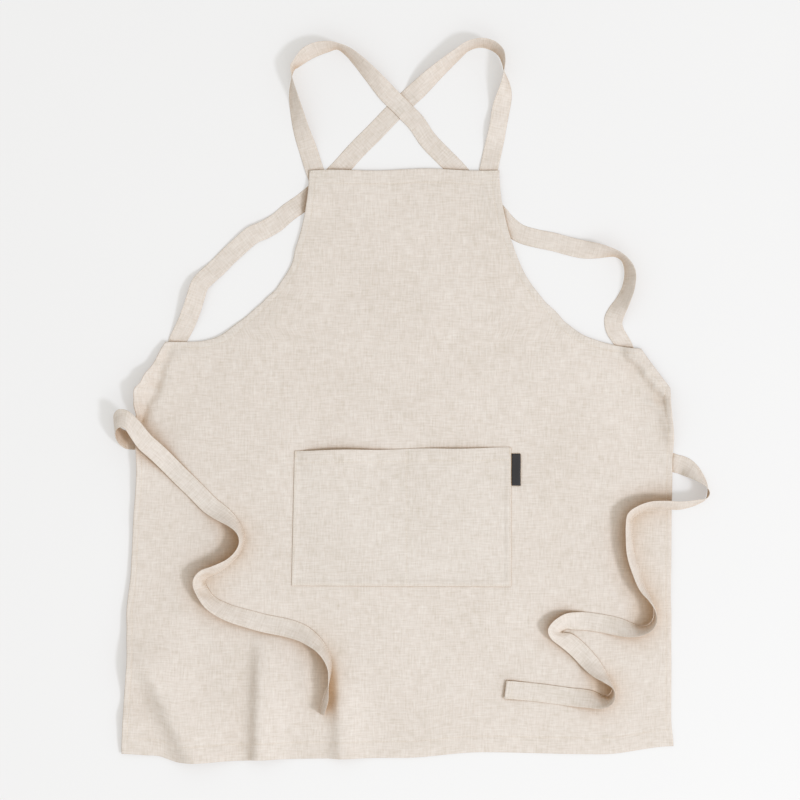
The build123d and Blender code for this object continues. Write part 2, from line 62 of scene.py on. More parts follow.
# ---------------------------------------------------------------- the pattern
cloth = 0.8                         # one layer of linen
contact = 0.15                      # air left between layers that only lie on each other
facing_width = 12.0
side_hem = 10.0
bottom_hem = 26.0
bib_hem = 22.0
seam_inset = 2.0
skirt_flare = 6.0
corner_slant = 49.0
corner_drop = 68.0
panel_bottom = panel_low[1]
panel_top = panel_high[1]
hem_half = panel_high[0]
skirt_half = hem_half - skirt_flare
waist_half = skirt_half - corner_slant
waist = facing_low[1] + facing_width
skirt_corner = waist - corner_drop
armhole_outer = facing_high[0]
bib_half = facing_low[0] + facing_width
armhole_wide = armhole_outer - bib_half
armhole_deep = panel_top - waist
strap_wide = 27.0
lift_start = 140.0                  # the panel lies on the table below this
lift_end = 230.0                    # and on the straps above this
table_face = 2 * cloth
strap_face = panel_high[2]
pocket_half = pocket_high[0]
pocket_floor = pocket_low[1]
pocket_mouth = pocket_high[1]
divider = 6.5                       # the seam that parts the pocket in two
stitch_pull = 0.2                   # a row of stitches lies this far down in the cloth


# ---------------------------------------------------------------- how the cloth lies
def ramp(value, start, end):
    """0 before start and 1 after end, easing between; end may be the lower of the two."""
    t = np.clip((np.asarray(value, float) - start) / (end - start), 0, 1)
    return t * t * (3 - 2 * t)


def through(value, places, heights):
    """A smooth curve through the given places, flat at each of them."""
    value = np.asarray(value, float)
    total = np.full(value.shape, float(heights[0]))
    for i in range(len(places) - 1):
        total = total + (heights[i + 1] - heights[i]) * ramp(value, places[i], places[i + 1])
    return total


def ridge(offset, height, wide_left, wide_right):
    """A rounded fold: its crest is at offset 0, and each side has its own width."""
    wide = np.where(offset < 0, wide_left, wide_right)
    return height * np.exp(-(offset / wide) ** 2)


def side_x(y):
    """How far out the skirt's side runs at this height."""
    down = np.clip((skirt_corner - y) / (skirt_corner - panel_bottom), 0, 1)
    up = np.clip((y - skirt_corner) / corner_drop, 0, 1)
    return skirt_half + skirt_flare * down - corner_slant * up


def lay(u, v):
    """Where a point of the flat pattern comes to lie: the hem wanders and the skirt swings left."""
    u = np.asarray(u, float)
    v = np.asarray(v, float)
    hem_wander = through(u, (-407, -360, -322, -230, -210, 0, 118, 300, 407),
                         (7, 4.5, -5, -3, -0.7, 0.8, 9, 6, 18))
    swing = 7 * np.abs(u) / hem_half
    x = u - swing * ramp(v, 420, panel_bottom)
    y = v + hem_wander * ramp(v, 210, panel_bottom)
    top_wave = 1.2 * np.sin(u / 23.0) + 1.0 * np.sin(u / 61.0 + 1.0)
    y = y + top_wave * ramp(v, panel_top - 90, panel_top)
    # The right waist corner has slipped inwards and down.
    x = x - 6.5 * ramp(u, 220, 400) * ramp(v, 430, 520) * ramp(v, 606, 540)
    y = y - 10 * ramp(u, 275, 352) * ramp(v, 535, 600)
    # The armhole edges are bias-cut and have eased out, more on the right than on the left.
    left_ease = through(v, (601, 627, 645, 663, 680, 716, 740, 854), (0, -9, -7, -3, 2.5, 5.5, 2, 3.5))
    right_ease = through(v, (601, 627, 645, 663, 700, 740, 854), (0, 8, 12, 9, 6, 6, 3.5))
    x = x + left_ease * ramp(u, -100, -150) * (u > -320) + right_ease * ramp(u, 100, 150) * (u < 320)
    # The skirt's sides draw in a little towards the middle of their length.
    left_draw = through(v, (-13, 60, 130, 176, 205, 264, 323, 412, 480, 530, 565, 601),
                        (1, 3, 7, 4.5, 3, 7, 8, 12, 9, 9, 10.5, 5))
    right_draw = through(v, (-13, 30, 90, 190, 230, 340, 420, 470), (0, 3, 3, 4, 5.5, 5.5, 4, 0))
    x = x + left_draw * ramp(u, -250, -400) - right_draw * ramp(u, 250, 400)
    # The edge by the left waist corner is a little wavy.
    near_edge = ramp(u, -360, -395) * ramp(v, 440, 480) * ramp(v, 600, 570)
    x = x + near_edge * (1.4 * np.sin(v / 7.0) + 0.8 * np.sin(v / 3.9 + 1.0))
    return x, y


# The left edge's height above the table, and the crease that it rises from, going up the skirt.
left_lift_y = (-13, 20, 45, 74, 124, 175, 230, 300, 359, 403, 433, 462, 500, 540, 575, 601)
left_lift_z = (2, 6, 9, 5, 17, 9, 4, 2, 5, 10, 15, 18, 25, 27, 13, 4)
left_crease_y = (-13, 250, 400, 440, 481, 500, 530, 556, 575, 601)
left_crease_x = (-300, -300, -335, -365, -383, -378, -361, -355, -346, -335)


def left_edge_lift(x, y):
    """The left edge and its waist corner stand clear of the table."""
    crease = through(y, left_crease_y, left_crease_x)
    outer = -side_x(y)
    share = np.clip((crease - x) / np.maximum(crease - outer, 8), 0, 1.15)
    rise = through(y, left_lift_y, left_lift_z) * share ** 1.2
    by_corner = ramp(y, 455, 500) * ramp(y, 595, 570)
    beside = ridge(x - crease - 9, height=3.6, wide_left=6, wide_right=24) * by_corner
    crinkle = ridge(x - crease + 4, height=0.9, wide_left=9, wide_right=13) * by_corner
    return rise + beside + crinkle * (np.sin(y / 3.4 + x / 9) + 0.6 * np.sin(y / 5.3 - x / 6))


def lower_left_folds(x, y):
    """Three folds that die out upwards: two that hang straight and one that slants to the corner."""
    tall = ridge(x + 212 - 0.03 * y, height=14.5, wide_left=12, wide_right=34) * ramp(y, 190, 95)
    second = ridge(x + 90 + 0.02 * y, height=10.0, wide_left=13, wide_right=30) * ramp(y, 160, 60)
    crest = -312 - 0.46 * (y + 4)
    slanted = ridge(x - crest, height=19.0, wide_left=22, wide_right=46) * ramp(y, 190, 60)
    return tall + second + slanted


def right_corner_creases(x, y):
    """The right waist corner: creases beside the slanted edge and a rim that stands up a little."""
    crest = through(y, (455, 515, 537, 556, 584), (402, 391, 372, 357, 332))
    fold = ridge(x - crest, height=9.0, wide_left=5.5, wide_right=20)
    fold = fold * ramp(y, 440, 500) * ramp(y, 600, 575)
    second_crest = through(y, (440, 468, 493, 512), (396, 393, 383, 368))
    second = ridge(x - second_crest, height=4.0, wide_left=6, wide_right=12)
    second = second * ramp(y, 430, 465) * ramp(y, 525, 505)
    rim = 3.0 * ramp(x, 374, 397) * ramp(y, 430, 470) * ramp(y, 545, 520)
    return fold + second + rim


# Waves in the cloth: length, direction in radians, and phase. Each is as high as its length allows.
waves = ((190, 0.4, 0.3), (143, 1.9, 1.1), (97, 2.6, 2.0), (71, 0.9, 4.1), (53, 1.4, 5.2))
wave_steepness = 0.0022


def slow_waves(x, y):
    """The cloth never lies quite flat, but it is calmer under the pocket."""
    total = 0
    for size, turn, phase in waves:
        along = (x * math.cos(turn) + y * math.sin(turn)) / size * 2 * math.pi
        total = total + size * wave_steepness * np.sin(along + phase + 0.8 * np.sin(y / 170 + phase))
    return np.maximum(total + 0.5, 0) * ramp(distance_from_pocket(x, y), -20, 35)


def distance_from_pocket(x, y):
    """How far outside the pocket a point is, and 0 over it."""
    dx = np.maximum(np.abs(x) - pocket_half, 0)
    dy = np.maximum(np.maximum(pocket_floor - y, y - pocket_mouth - 10), 0)
    return np.hypot(dx, dy)


def armhole_x(y):
    """How far out the bib's side runs at this height."""
    over = np.clip((panel_top - np.asarray(y, float)) / armhole_deep, 0, 1)
    return armhole_outer - armhole_wide * np.sqrt(1 - over ** 2)


def armhole_edges(x, y):
    """Between the straps the armhole's edge sinks to the table; one side of the bib gapes."""
    inside = armhole_x(y) - np.abs(x)
    sunk = -2.0 * ramp(inside, 45, 0) * ramp(y, 606, 640) * ramp(y, 740, 700)
    gape = 7.0 * ramp(x, -95, -146) * np.exp(-((y - 808) / 22) ** 2)
    return sunk + gape


def face_height(x, y):
    """Height of the panel's face above the table."""
    base = table_face + (strap_face - table_face) * ramp(y, lift_start, lift_end)
    folds = left_edge_lift(x, y) + lower_left_folds(x, y) + right_corner_creases(x, y)
    return base + folds + slow_waves(x, y) + armhole_edges(x, y)


# ---------------------------------------------------------------- meshes
def add_object(name, data):
    made = bpy.data.objects.new(name, data)
    bpy.context.scene.collection.objects.link(made)
    return made


def run_along(points):
    """The distance run from the first point to each point of a line."""
    steps = np.linalg.norm(np.diff(points, axis=0), axis=1)
    return np.concatenate([[0], np.cumsum(steps)])


def make_piece(name, points, faces, uv=None):
    """A mesh object from points in millimetres, with the cloth's own coordinates in metres."""
    mesh = bpy.data.meshes.new(name)
    mesh.from_pydata([tuple(p) for p in np.asarray(points, float) * MM], [], [tuple(f) for f in faces])
    mesh.update()
    if uv is not None:
        layer = mesh.uv_layers.new(name="cloth")
        corners = np.zeros(len(mesh.loops), np.int32)
        mesh.loops.foreach_get("vertex_index", corners)
        flat = (np.asarray(uv, float) * MM)[corners]
        layer.data.foreach_set("uv", flat.astype(np.float32).ravel())
    mesh.shade_smooth()
    return add_object(name, mesh)


def stand_for(piece, nodes, body="apron"):
    """Hand a finished piece to the frame: what it rides on and what it replaces."""
    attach(piece, body)
    if nodes:
        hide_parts(*nodes)
    return piece


def finish_piece(piece, material, nodes, body="apron"):
    piece.data.materials.append(material)
    return stand_for(piece, nodes, body)


def closed_sheet(name, upper, lower, uv):
    """Two matching grids of points, rows by columns, closed round their border."""
    rows, columns = upper.shape[:2]
    count = rows * columns
    index = np.arange(count).reshape(rows, columns)
    faces = []
    for i in range(rows - 1):
        for j in range(columns - 1):
            a, b, c, d = index[i, j], index[i, j + 1], index[i + 1, j + 1], index[i + 1, j]
            faces.append((a, b, c, d))
            faces.append((d + count, c + count, b + count, a + count))
    border = list(index[0, :]) + list(index[1:, -1]) + list(index[-1, -2::-1]) + list(index[-2:0:-1, 0])
    for a, b in zip(border, border[1:] + border[:1]):
        faces.append((b, a, a + count, b + count))
    points = np.vstack([upper.reshape(-1, 3), lower.reshape(-1, 3)])
    flat = np.vstack([uv.reshape(-1, 2), uv.reshape(-1, 2)])
    return make_piece(name, points, faces, flat)


# ---------------------------------------------------------------- panel
grid_step = 4.6
armhole_steps = 76
fold_row = 0.6                      # a hem's inner edge falls away over this
stitch_row = 0.8                    # rows of points lie this far each side of the stitches
edge_row = 1.6                      # and one lies this far in from the folded edge
clear_of_row = 2.4                  # the even field of points starts this far past a row


def straight(start, end, border):
    """Points from start up to, and not including, end."""
    across, up = end[0] - start[0], end[1] - start[1]
    steps = max(1, round(math.hypot(across, up) / grid_step))
    return [(start[0] + across * k / steps, start[1] + up * k / steps, border) for k in range(steps)]


def armhole_points(side):
    """From the waist up to the bib, a quarter of an ellipse."""
    places = []
    for k in range(armhole_steps):
        angle = math.pi / 2 * k / armhole_steps
        places.append((side * (armhole_outer - armhole_wide * math.sin(angle)),
                       panel_top - armhole_deep * math.cos(angle), "armhole"))
    return places


def armhole_line(side):
    """The armhole's points, and at each the direction from its edge into the cloth."""
    places = np.array([place[:2] for place in armhole_points(side)])
    along = np.gradient(places, axis=0)
    inward = side * np.stack([-along[:, 1], along[:, 0]], 1) / np.hypot(*along.T)[:, None]
    return places, inward


def outline_points():
    """The panel's outline, counter-clockwise."""
    right = [(hem_half, panel_bottom), (skirt_half, skirt_corner), (waist_half, waist),
             (armhole_outer, waist)]
    places = straight((-hem_half, panel_bottom), right[0], "bottom")
    for start, end in zip(right, right[1:]):
        places += straight(start, end, "side")
    places += armhole_points(1)
    places += straight((bib_half, panel_top), (-bib_half, panel_top), "bib")
    places += [(-bib_half, panel_top, "armhole")] + armhole_points(-1)[:0:-1]
    left = [(-x, y) for x, y in reversed(right)]
    for start, end in zip(left, left[1:]):
        places += straight(start, end, "side")
    return places


outline = outline_points()
edge = np.array([(x, y) for x, y, border in outline])
edge_border = np.array([border for x, y, border in outline])
hem_of = {"bottom": bottom_hem, "side": side_hem, "armhole": facing_width, "bib": bib_hem}


def distance_to(points, border):
    """Distance from each point to one border of the outline."""
    nearest = np.full(len(points), 1e9)
    closed = np.vstack([edge, edge[:1]])
    for i in np.nonzero(edge_border == border)[0]:
        a, b = closed[i], closed[i + 1]
        along = b - a
        share = np.clip(((points - a) @ along) / (along @ along), 0, 1)
        nearest = np.minimum(nearest, np.hypot(*(points - a - share[:, None] * along).T))
    return nearest


def inside_outline(x, y):
    """True over the panel. The armholes are cut out of the bib's sides."""
    x = np.abs(np.asarray(x, float))
    y = np.asarray(y, float)
    half = np.where(y <= waist, side_x(y), armhole_x(y))
    return (x < half) & (y > panel_bottom) & (y < panel_top)


def hem_rows():
    """Rows of points along each hem: by its fold, on its stitches and at its inner edge."""
    after = np.roll(edge, -1, axis=0) - np.roll(edge, 1, axis=0)
    inward = np.stack([-after[:, 1], after[:, 0]], 1) / np.hypot(*after.T)[:, None]
    rows = []
    for border, deep in hem_of.items():
        here = edge_border == border
        stitched = deep - seam_inset
        insets = (edge_row, stitched - stitch_row, stitched, stitched + stitch_row, deep, deep + fold_row)
        for inset in insets:
            places = edge[here] + inward[here] * inset
            clear = np.minimum.reduce([distance_to(places, other) for other in hem_of])
            rows.append(places[clear > inset - 0.05])    # not past where two hems meet
    return np.vstack(rows)


def panel_points():
    """The outline, the rows along the hems, and an even field that keeps clear of those rows."""
    xs = np.arange(-hem_half, hem_half, grid_step)
    ys = np.arange(panel_bottom, panel_top, grid_step)
    field = np.array([(x + (grid_step / 2) * (j % 2), y) for j, y in enumerate(ys) for x in xs])
    field = field[inside_outline(*field.T)]
    keep = distance_to(field, "side") > side_hem + clear_of_row
    keep &= distance_to(field, "armhole") > facing_width + clear_of_row
    for border, deep in (("bottom", bottom_hem), ("bib", bib_hem)):
        away = distance_to(field, border)
        keep &= (away > 3.4) & (np.abs(away - deep + seam_inset / 2) > 3.6)
    return np.vstack([edge, hem_rows(), field[keep]])


def hem_state(points):
    """Layers of cloth at each point, and how far the stitches pull the face in."""
    layers = np.ones(len(points))
    pulled = np.zeros(len(points))
    for border, deep in hem_of.items():
        away = distance_to(points, border)
        if border != "armhole":
            layers = np.maximum(layers, 1 + ramp(away, deep + fold_row, deep))
        pulled += 0.28 * np.exp(-((away - deep + seam_inset) / 0.9) ** 2)
        pulled += 0.25 * ramp(away, edge_row, 0)
    return layers, np.minimum(pulled, 0.35)


def make_panel():
    """Two faces of points, one over the other, joined by a wall round the outline."""
    points = panel_points()
    border = list(range(len(edge)))
    flat, _, faces, _, _, _ = delaunay_2d_cdt([Vector(p) for p in points], [], [border], 1, 1e-4)
    flat = np.array([tuple(p) for p in flat])
    layers, pulled = hem_state(flat)
    x, y = lay(*flat.T)
    top = face_height(x, y)
    upper = np.stack([x, y, top - pulled], 1)
    lower = np.stack([x, y, top - layers * cloth + 0.4 * pulled], 1)
    count = len(flat)
    borders = {(a, b): face for face in faces for a, b in zip(face, face[1:] + face[:1])}
    walls = [(b, a, a + count, b + count) for a, b in borders if (b, a) not in borders]
    shell = [tuple(f) for f in faces] + [tuple(i + count for i in reversed(f)) for f in faces] + walls
    return make_piece("linen_panel", np.vstack([upper, lower]), shell, np.vstack([flat, flat]))


# ---------------------------------------------------------------- facings
def make_facing(name, side):
    """The bias strip behind an armhole, following its curve under the panel's single layer."""
    places, inward = armhole_line(side)
    keep = (places[:, 1] < panel_top - bib_hem - 0.5) & (places[:, 1] > waist + 0.4)
    places, inward = places[keep], inward[keep]
    first_inset = 0.2
    insets = (first_inset, 1.5, 4, 7, 9.2, 10, 10.8, facing_width)
    upper = np.zeros((len(places), len(insets), 3))
    lower = np.zeros_like(upper)
    uv = np.zeros((len(places), len(insets), 2))
    run = run_along(places)
    for j, inset in enumerate(insets):
        flat = places + inward * inset
        x, y = lay(*flat.T)
        back = face_height(x, y) - cloth - 0.02
        rounding = 0.25 if inset in (first_inset, facing_width) else 0
        upper[:, j] = np.stack([x, y, back], 1)
        lower[:, j] = np.stack([x, y, back - cloth + rounding], 1)
        uv[:, j] = np.stack([(run + inset) * 0.7, (run - inset) * 0.7], 1)    # cut on the bias
    if side < 0:
        upper, lower, uv = upper[::-1], lower[::-1], uv[::-1]
    return closed_sheet(name, upper[:, ::-1], lower[:, ::-1], uv[:, ::-1])


# ---------------------------------------------------------------- pocket
pocket_hem = 20.0
pocket_edge = 8.0
divider_flat = 5.0                  # the divider holds a strip this wide down
divider_pull = 1.2                  # and its stitches dent the cloth this far each side
pressed = 0.4                       # how much thicker an ironed turned edge is than one layer
# Each compartment's mouth: its two ends, how far it stands open, and how its bulge leans.
gapes = ((-pocket_half + pocket_edge, divider - divider_flat / 2, 6.5, 0.62),
         (divider + divider_flat / 2, pocket_half - pocket_edge, 3.2, 1.0))


def pocket_rise(x, y):
    """How far the pocket's cloth stands off the panel: most at the mouth."""
    up = np.clip((y - pocket_floor - pocket_edge) / (pocket_mouth - pocket_floor - pocket_edge), 0, 1)
    total = 0
    for left, right, gape, skew in gapes:
        across = np.clip((x - left) / (right - left), 0, 1) ** skew
        total = total + gape * np.sin(math.pi * across) ** 1.5 * (0.25 * up + 0.75 * up ** 5)
    return total


def pocket_thickness(x, y):
    """One layer, two where the edge or the mouth hem is turned in."""
    from_side = pocket_half - np.abs(x)
    from_floor = y - pocket_floor
    from_mouth = pocket_mouth - y
    turned = np.maximum.reduce([ramp(from_side, pocket_edge + fold_row, pocket_edge),
                                ramp(from_floor, pocket_edge + fold_row, pocket_edge),
                                ramp(from_mouth, pocket_hem + fold_row, pocket_hem)])
    pulled = 0.16 * np.exp(-((np.minimum(from_side, from_floor) - seam_inset) / 0.8) ** 2)
    pulled = pulled + 0.22 * np.exp(-((from_mouth - pocket_hem + seam_inset) / 0.8) ** 2)
    pulled = pulled + 0.25 * np.exp(-((x - divider) / divider_pull) ** 2)
    return cloth * (0.85 + pressed * turned) - pulled


def pocket_lines(low, high, special):
    """Grid lines from low to high, with extra ones at the hems' edges and stitches."""
    plain = np.linspace(low, high, round((high - low) / 3.6) + 1)
    plain = [p for p in plain if min(abs(p - s) for s in special) > 1.0]
    return np.array(sorted(set(plain) | set(special)))


def make_pocket():
    """A grid with lines at its hems and stitches, its face rounded down at the edges."""
    by_stitches = (seam_inset - stitch_row, seam_inset, seam_inset + stitch_row)
    turned = by_stitches + (pocket_edge, pocket_edge + fold_row)
    special_x = [-pocket_half, pocket_half] + [divider + t for t in (-divider_pull, 0, divider_pull)]
    special_x += [s * (pocket_half - t) for s in (-1, 1) for t in turned]
    special_y = [pocket_floor, pocket_mouth] + [pocket_floor + t for t in turned]
    special_y += [pocket_mouth - pocket_hem + t for t in (-fold_row, 0) + by_stitches]
    special_y += [pocket_mouth - row for row in (0.5, 1.5)]
    us = pocket_lines(-pocket_half, pocket_half, special_x)
    vs = pocket_lines(pocket_floor, pocket_mouth, special_y)
    u, v = np.meshgrid(us, vs)
    x, y = lay_pocket(u, v)
    inner = face_height(x, y) + contact + pocket_rise(u, v)
    rounding = 0.3 * ramp(np.minimum(pocket_half - np.abs(u), v - pocket_floor), 1.2, 0)
    rounding = rounding + 0.3 * ramp(pocket_mouth - v, 1.0, 0)
    upper = np.stack([x, y, inner + pocket_thickness(u, v) - rounding], 2)
    lower = np.stack([x, y, inner], 2)
    own_cloth = 500                 # its weave is not a piece of the panel's
    return closed_sheet("linen_pocket", upper, lower, np.stack([u + own_cloth, v], 2))


def lay_pocket(u, v):
    """The pocket sits a little askew: wider at its foot on the left, its mouth higher on the right."""
    u = np.asarray(u, float)
    v = np.asarray(v, float)
    up = (v - pocket_floor) / (pocket_mouth - pocket_floor)
    x = u + 2.2 * np.clip(-u / pocket_half, 0, 1) * (up * 2 - 1)
    y = v + 3.0 * (u / pocket_half) * (up - 0.25) + 0.6 * np.sin(u / 19.0) * up
    return x, y


def on_pocket(u, v):
    """Points on the pocket's face."""
    x, y = lay_pocket(u, v)
    z = face_height(x, y) + contact + pocket_rise(u, v) + pocket_thickness(u, v)
    return np.stack([x, y, z], 1)


# ---------------------------------------------------------------- label
def make_label():
    """A strip of woven tape folded in half, held in the pocket's side seam."""
    tape = 0.32
    fold = 0.42                     # inner radius of the fold
    shift = 0.8
    steps = 6
    left = label_low[0] + shift
    right = label_high[0] + shift - fold - tape
    middle = fold + tape / 2
    shares = [k / steps for k in range(steps + 1)]
    line = [(left + (right - left) * t, 0.0) for t in shares]
    line += [(right + middle * math.sin(math.pi * t), middle * (1 - math.cos(math.pi * t)))
             for t in shares[1:-1]]
    line += [(right - (right - left) * t, 2 * fold + tape - 0.25 * t) for t in shares]
    line = np.array(line)
    step = np.gradient(line, axis=0)
    out = np.stack([-step[:, 1], step[:, 0]], 1) / np.hypot(*step.T)[:, None]
    run = run_along(line)
    ends = np.linspace(label_low[1], label_high[1], 27)
    sides = []
    for offset in (-tape / 2, tape / 2):
        grid = np.zeros((len(ends), len(line), 3))
        for i, y in enumerate(ends):
            across = line[:, 0] + out[:, 0] * offset
            curl = 0.9 * ramp(across, left + 2, right) * (0.6 + 0.4 * math.sin(y / 9.0))
            rest = face_height(across, np.full(len(across), y)) + contact + tape / 2
            grid[i] = np.stack([across + 0.15 * np.sin(y / 6.0), np.full(len(line), y),
                                rest + line[:, 1] + out[:, 1] * offset + curl], 1)
        sides.append(grid)
    uv = np.stack(np.meshgrid(run, ends), 2)
    return closed_sheet("woven_label", sides[1], sides[0], uv)


# ---------------------------------------------------------------- straps and ties
# Stations: x, y, what it lies on, gap under the lower edge, compass direction of the marked
# edge, and how far that edge is stood up (0 flat, 90 on edge, 180 flat with the other side up).
TABLE, PANEL = 0.0, 1.0
behind = -2.65                      # rise of a tie that is sewn to the panel's back
seat = 1.5                          # rise of a strap's end that is sewn behind the panel

left_strap_route = [
    (-121, 828, TABLE, seat, 12, 0), (-129, 854, TABLE, seat, 12, 0), (-138, 882, TABLE, 0.4, 13, 6),
    (-147, 910, TABLE, 0.4, 14, 26), (-154, 938, TABLE, 0.4, 10, 43), (-160, 964, TABLE, 0.4, 4, 60),
    (-162, 987, TABLE, 0.4, -4, 84), (-161, 1002, TABLE, 0.4, -20, 100), (-156, 1008, TABLE, 1, -37, 109),
    (-141, 1022, TABLE, 3, -57, 128), (-125, 1030, TABLE, 3, -67, 128), (-108, 1034, TABLE, 2, -80, 116),
    (-94, 1034, TABLE, 1, -105, 102), (-79, 1026, TABLE, 0.4, -130, 112),
    (-63, 1012, TABLE, 0.4, -137, 126),
    (-44, 992, TABLE, 0.8, -137, 142), (-25, 970, TABLE, 1.2, -137, 164), (-12, 957, TABLE, 1.2, -137, 176),
    (-3, 949, TABLE, 1.2, -137, 180), (8, 937, TABLE, 1.2, -137, 180), (21, 923, TABLE, 1.2, -137, 180),
    (38, 899, TABLE, 0.6, -137, 180), (60, 876, TABLE, 0.2, -137, 180), (80, 856, TABLE, 0, -137, 180),
    (100, 834, TABLE, 0, -137, 180), (122, 811, TABLE, 0, -136, 180), (142, 790, TABLE, 0, -132, 180),
    (158, 772, TABLE, 0, -122, 180), (175, 760, TABLE, 0, -109, 180), (197, 754, TABLE, 0.2, -103, 180),
    (221, 749, TABLE, 0.4, -101, 178), (246, 742, TABLE, 0.4, -102, 174), (268, 737, TABLE, 0.4, -103, 163),
    (288, 734, TABLE, 0.4, -101, 140), (303, 732, TABLE, 0.4, -101, 120), (316, 729, TABLE, 0.4, -115, 106),
    (326, 722, TABLE, 0.4, -136, 104), (333, 710, TABLE, 0.4, -164, 116), (335, 697, TABLE, 0.4, -180, 124),
    (332, 679, TABLE, 0.4, -192, 129), (325, 661, TABLE, 0.4, -202, 138), (317, 646, TABLE, 0.4, -204, 156),
    (312, 633, TABLE, 0.4, -195, 172), (313, 621, TABLE, 0.4, -180, 180), (317, 612, TABLE, 0.6, -172, 182),
    (322, 604, TABLE, 0.8, -174, 181), (326, 597, TABLE, 1.2, -178, 180),
    (329, 587, TABLE, seat, -180, 180), (330, 575, TABLE, seat, -180, 180),
]
right_strap_route = [
    (123, 828, TABLE, seat, 175, 0), (128, 856, TABLE, seat, 173, 0), (134, 884, TABLE, 0.4, 169, 2),
    (140, 914, TABLE, 0.4, 169, 18), (146, 945, TABLE, 0.4, 170, 12), (151, 967, TABLE, 0.4, 174, 36),
    (152, 984, TABLE, 0.4, 180, 64), (150, 1000, TABLE, 0.4, 184, 88), (149, 1012, TABLE, 0.6, 188, 98),
    (144, 1026, TABLE, 1, 214, 108), (131, 1036, TABLE, 2, 250, 112), (114, 1039, TABLE, 3, 273, 112),
    (96, 1034, TABLE, 2, 296, 113), (80, 1022, TABLE, 1, 308, 121), (65, 1010, TABLE, 0.8, 310, 130),
    (47, 994, TABLE, 0.4, 313, 143), (29, 977, TABLE, 0.2, 313, 161), (13, 963, TABLE, 0, 314, 179),
    (-3, 948, TABLE, 0, 315, 180), (-21, 930, TABLE, 0, 315, 180), (-40, 911, TABLE, 0, 315, 180),
    (-59, 892, TABLE, 0, 314, 180), (-77, 873, TABLE, 0, 314, 180), (-94, 854, TABLE, 0, 313, 180),
    (-112, 836, TABLE, 0, 312, 180), (-130, 820, TABLE, 0, 311, 180), (-147, 806, TABLE, 0, 308, 180),
    (-167, 792, TABLE, 0, 304, 180), (-185, 777, TABLE, 0.4, 302, 178), (-206, 765, TABLE, 1.5, 298, 176),
    (-221, 758, TABLE, 1.5, 304, 176), (-243, 739, TABLE, 1.5, 311, 178), (-257, 726, TABLE, 1.5, 314, 180),
    (-272, 710, TABLE, 1.5, 315, 180), (-286, 697, TABLE, 3, 314, 178), (-297, 685, TABLE, 5, 326, 172),
    (-303, 668, TABLE, 6, 340, 166), (-309, 649, TABLE, 5, 340, 168), (-317, 630, TABLE, 3, 340, 172),
    (-326, 613, TABLE, 1, 345, 176), (-331, 602, TABLE, 1.2, 355, 180), (-332, 588, TABLE, seat, 360, 180),
    (-332, 575, TABLE, seat, 360, 180),
]
left_tie_route = [
    (-351, 566, PANEL, behind, 0, 0), (-354, 548, PANEL, behind, 0, 0), (-358, 524, PANEL, -3.4, 0, 0),
    (-362, 500, TABLE, 1.5, -4, 0), (-367, 477, TABLE, 0.5, -24, 0), (-380, 462, TABLE, 0, -58, 0),
    (-392, 456, TABLE, 0, -80, 0), (-403, 456, TABLE, 0.6, -88, 0), (-411, 459, TABLE, 5, -88, 0),
    (-419, 468, TABLE, 14, -86, 0), (-420.5, 480, TABLE, 25, -85, 0), (-413, 488, TABLE, 34, -90, 2),
    (-401, 486, TABLE, 38, -100, 3), (-389, 472, TABLE, 34, -118, 3), (-376, 454, TABLE, 26, -130, 3),
    (-360, 438, TABLE, 17, -134, 3), (-342, 420, TABLE, 9, -135, 3), (-322, 400, PANEL, 1.5, -135, 3),
    (-304, 382, PANEL, 0.3, -135, 4), (-285, 363, PANEL, 0.3, -136, 8), (-272, 353, PANEL, 0.3, -137, 18),
    (-258, 343, PANEL, 0.3, -142, 38), (-245, 332, PANEL, 0.3, -152, 60), (-237, 320, PANEL, 0.3, -168, 74),
    (-235, 306, PANEL, 0.3, -186, 77), (-241, 292, PANEL, 0.3, -206, 76), (-251, 281, PANEL, 0.3, -222, 72),
    (-263, 272, PANEL, 0.3, -236, 64), (-276, 265, PANEL, 0.3, -240, 58), (-290, 259, PANEL, 0.3, -226, 52),
    (-297, 250, PANEL, 0.3, -190, 52), (-294, 236, PANEL, 0.3, -158, 50), (-282, 219, PANEL, 0.3, -138, 44),
    (-266, 208, PANEL, 0.3, -124, 36), (-249, 200, PANEL, 0.3, -116, 28), (-227, 193, PANEL, 0.3, -110, 20),
    (-200, 186, PANEL, 0.3, -106, 14), (-171, 180, PANEL, 0.3, -106, 14), (-145, 172, PANEL, 0.3, -115, 28),
    (-124, 157, PANEL, 0.3, -130, 50), (-111, 139, PANEL, 0.3, -150, 66), (-106, 120, PANEL, 0.3, -170, 80),
    (-108, 96, PANEL, 0.3, -180, 92), (-112, 75, PANEL, 0.3, -178, 108), (-118, 54, PANEL, 0.3, -178, 108),
]
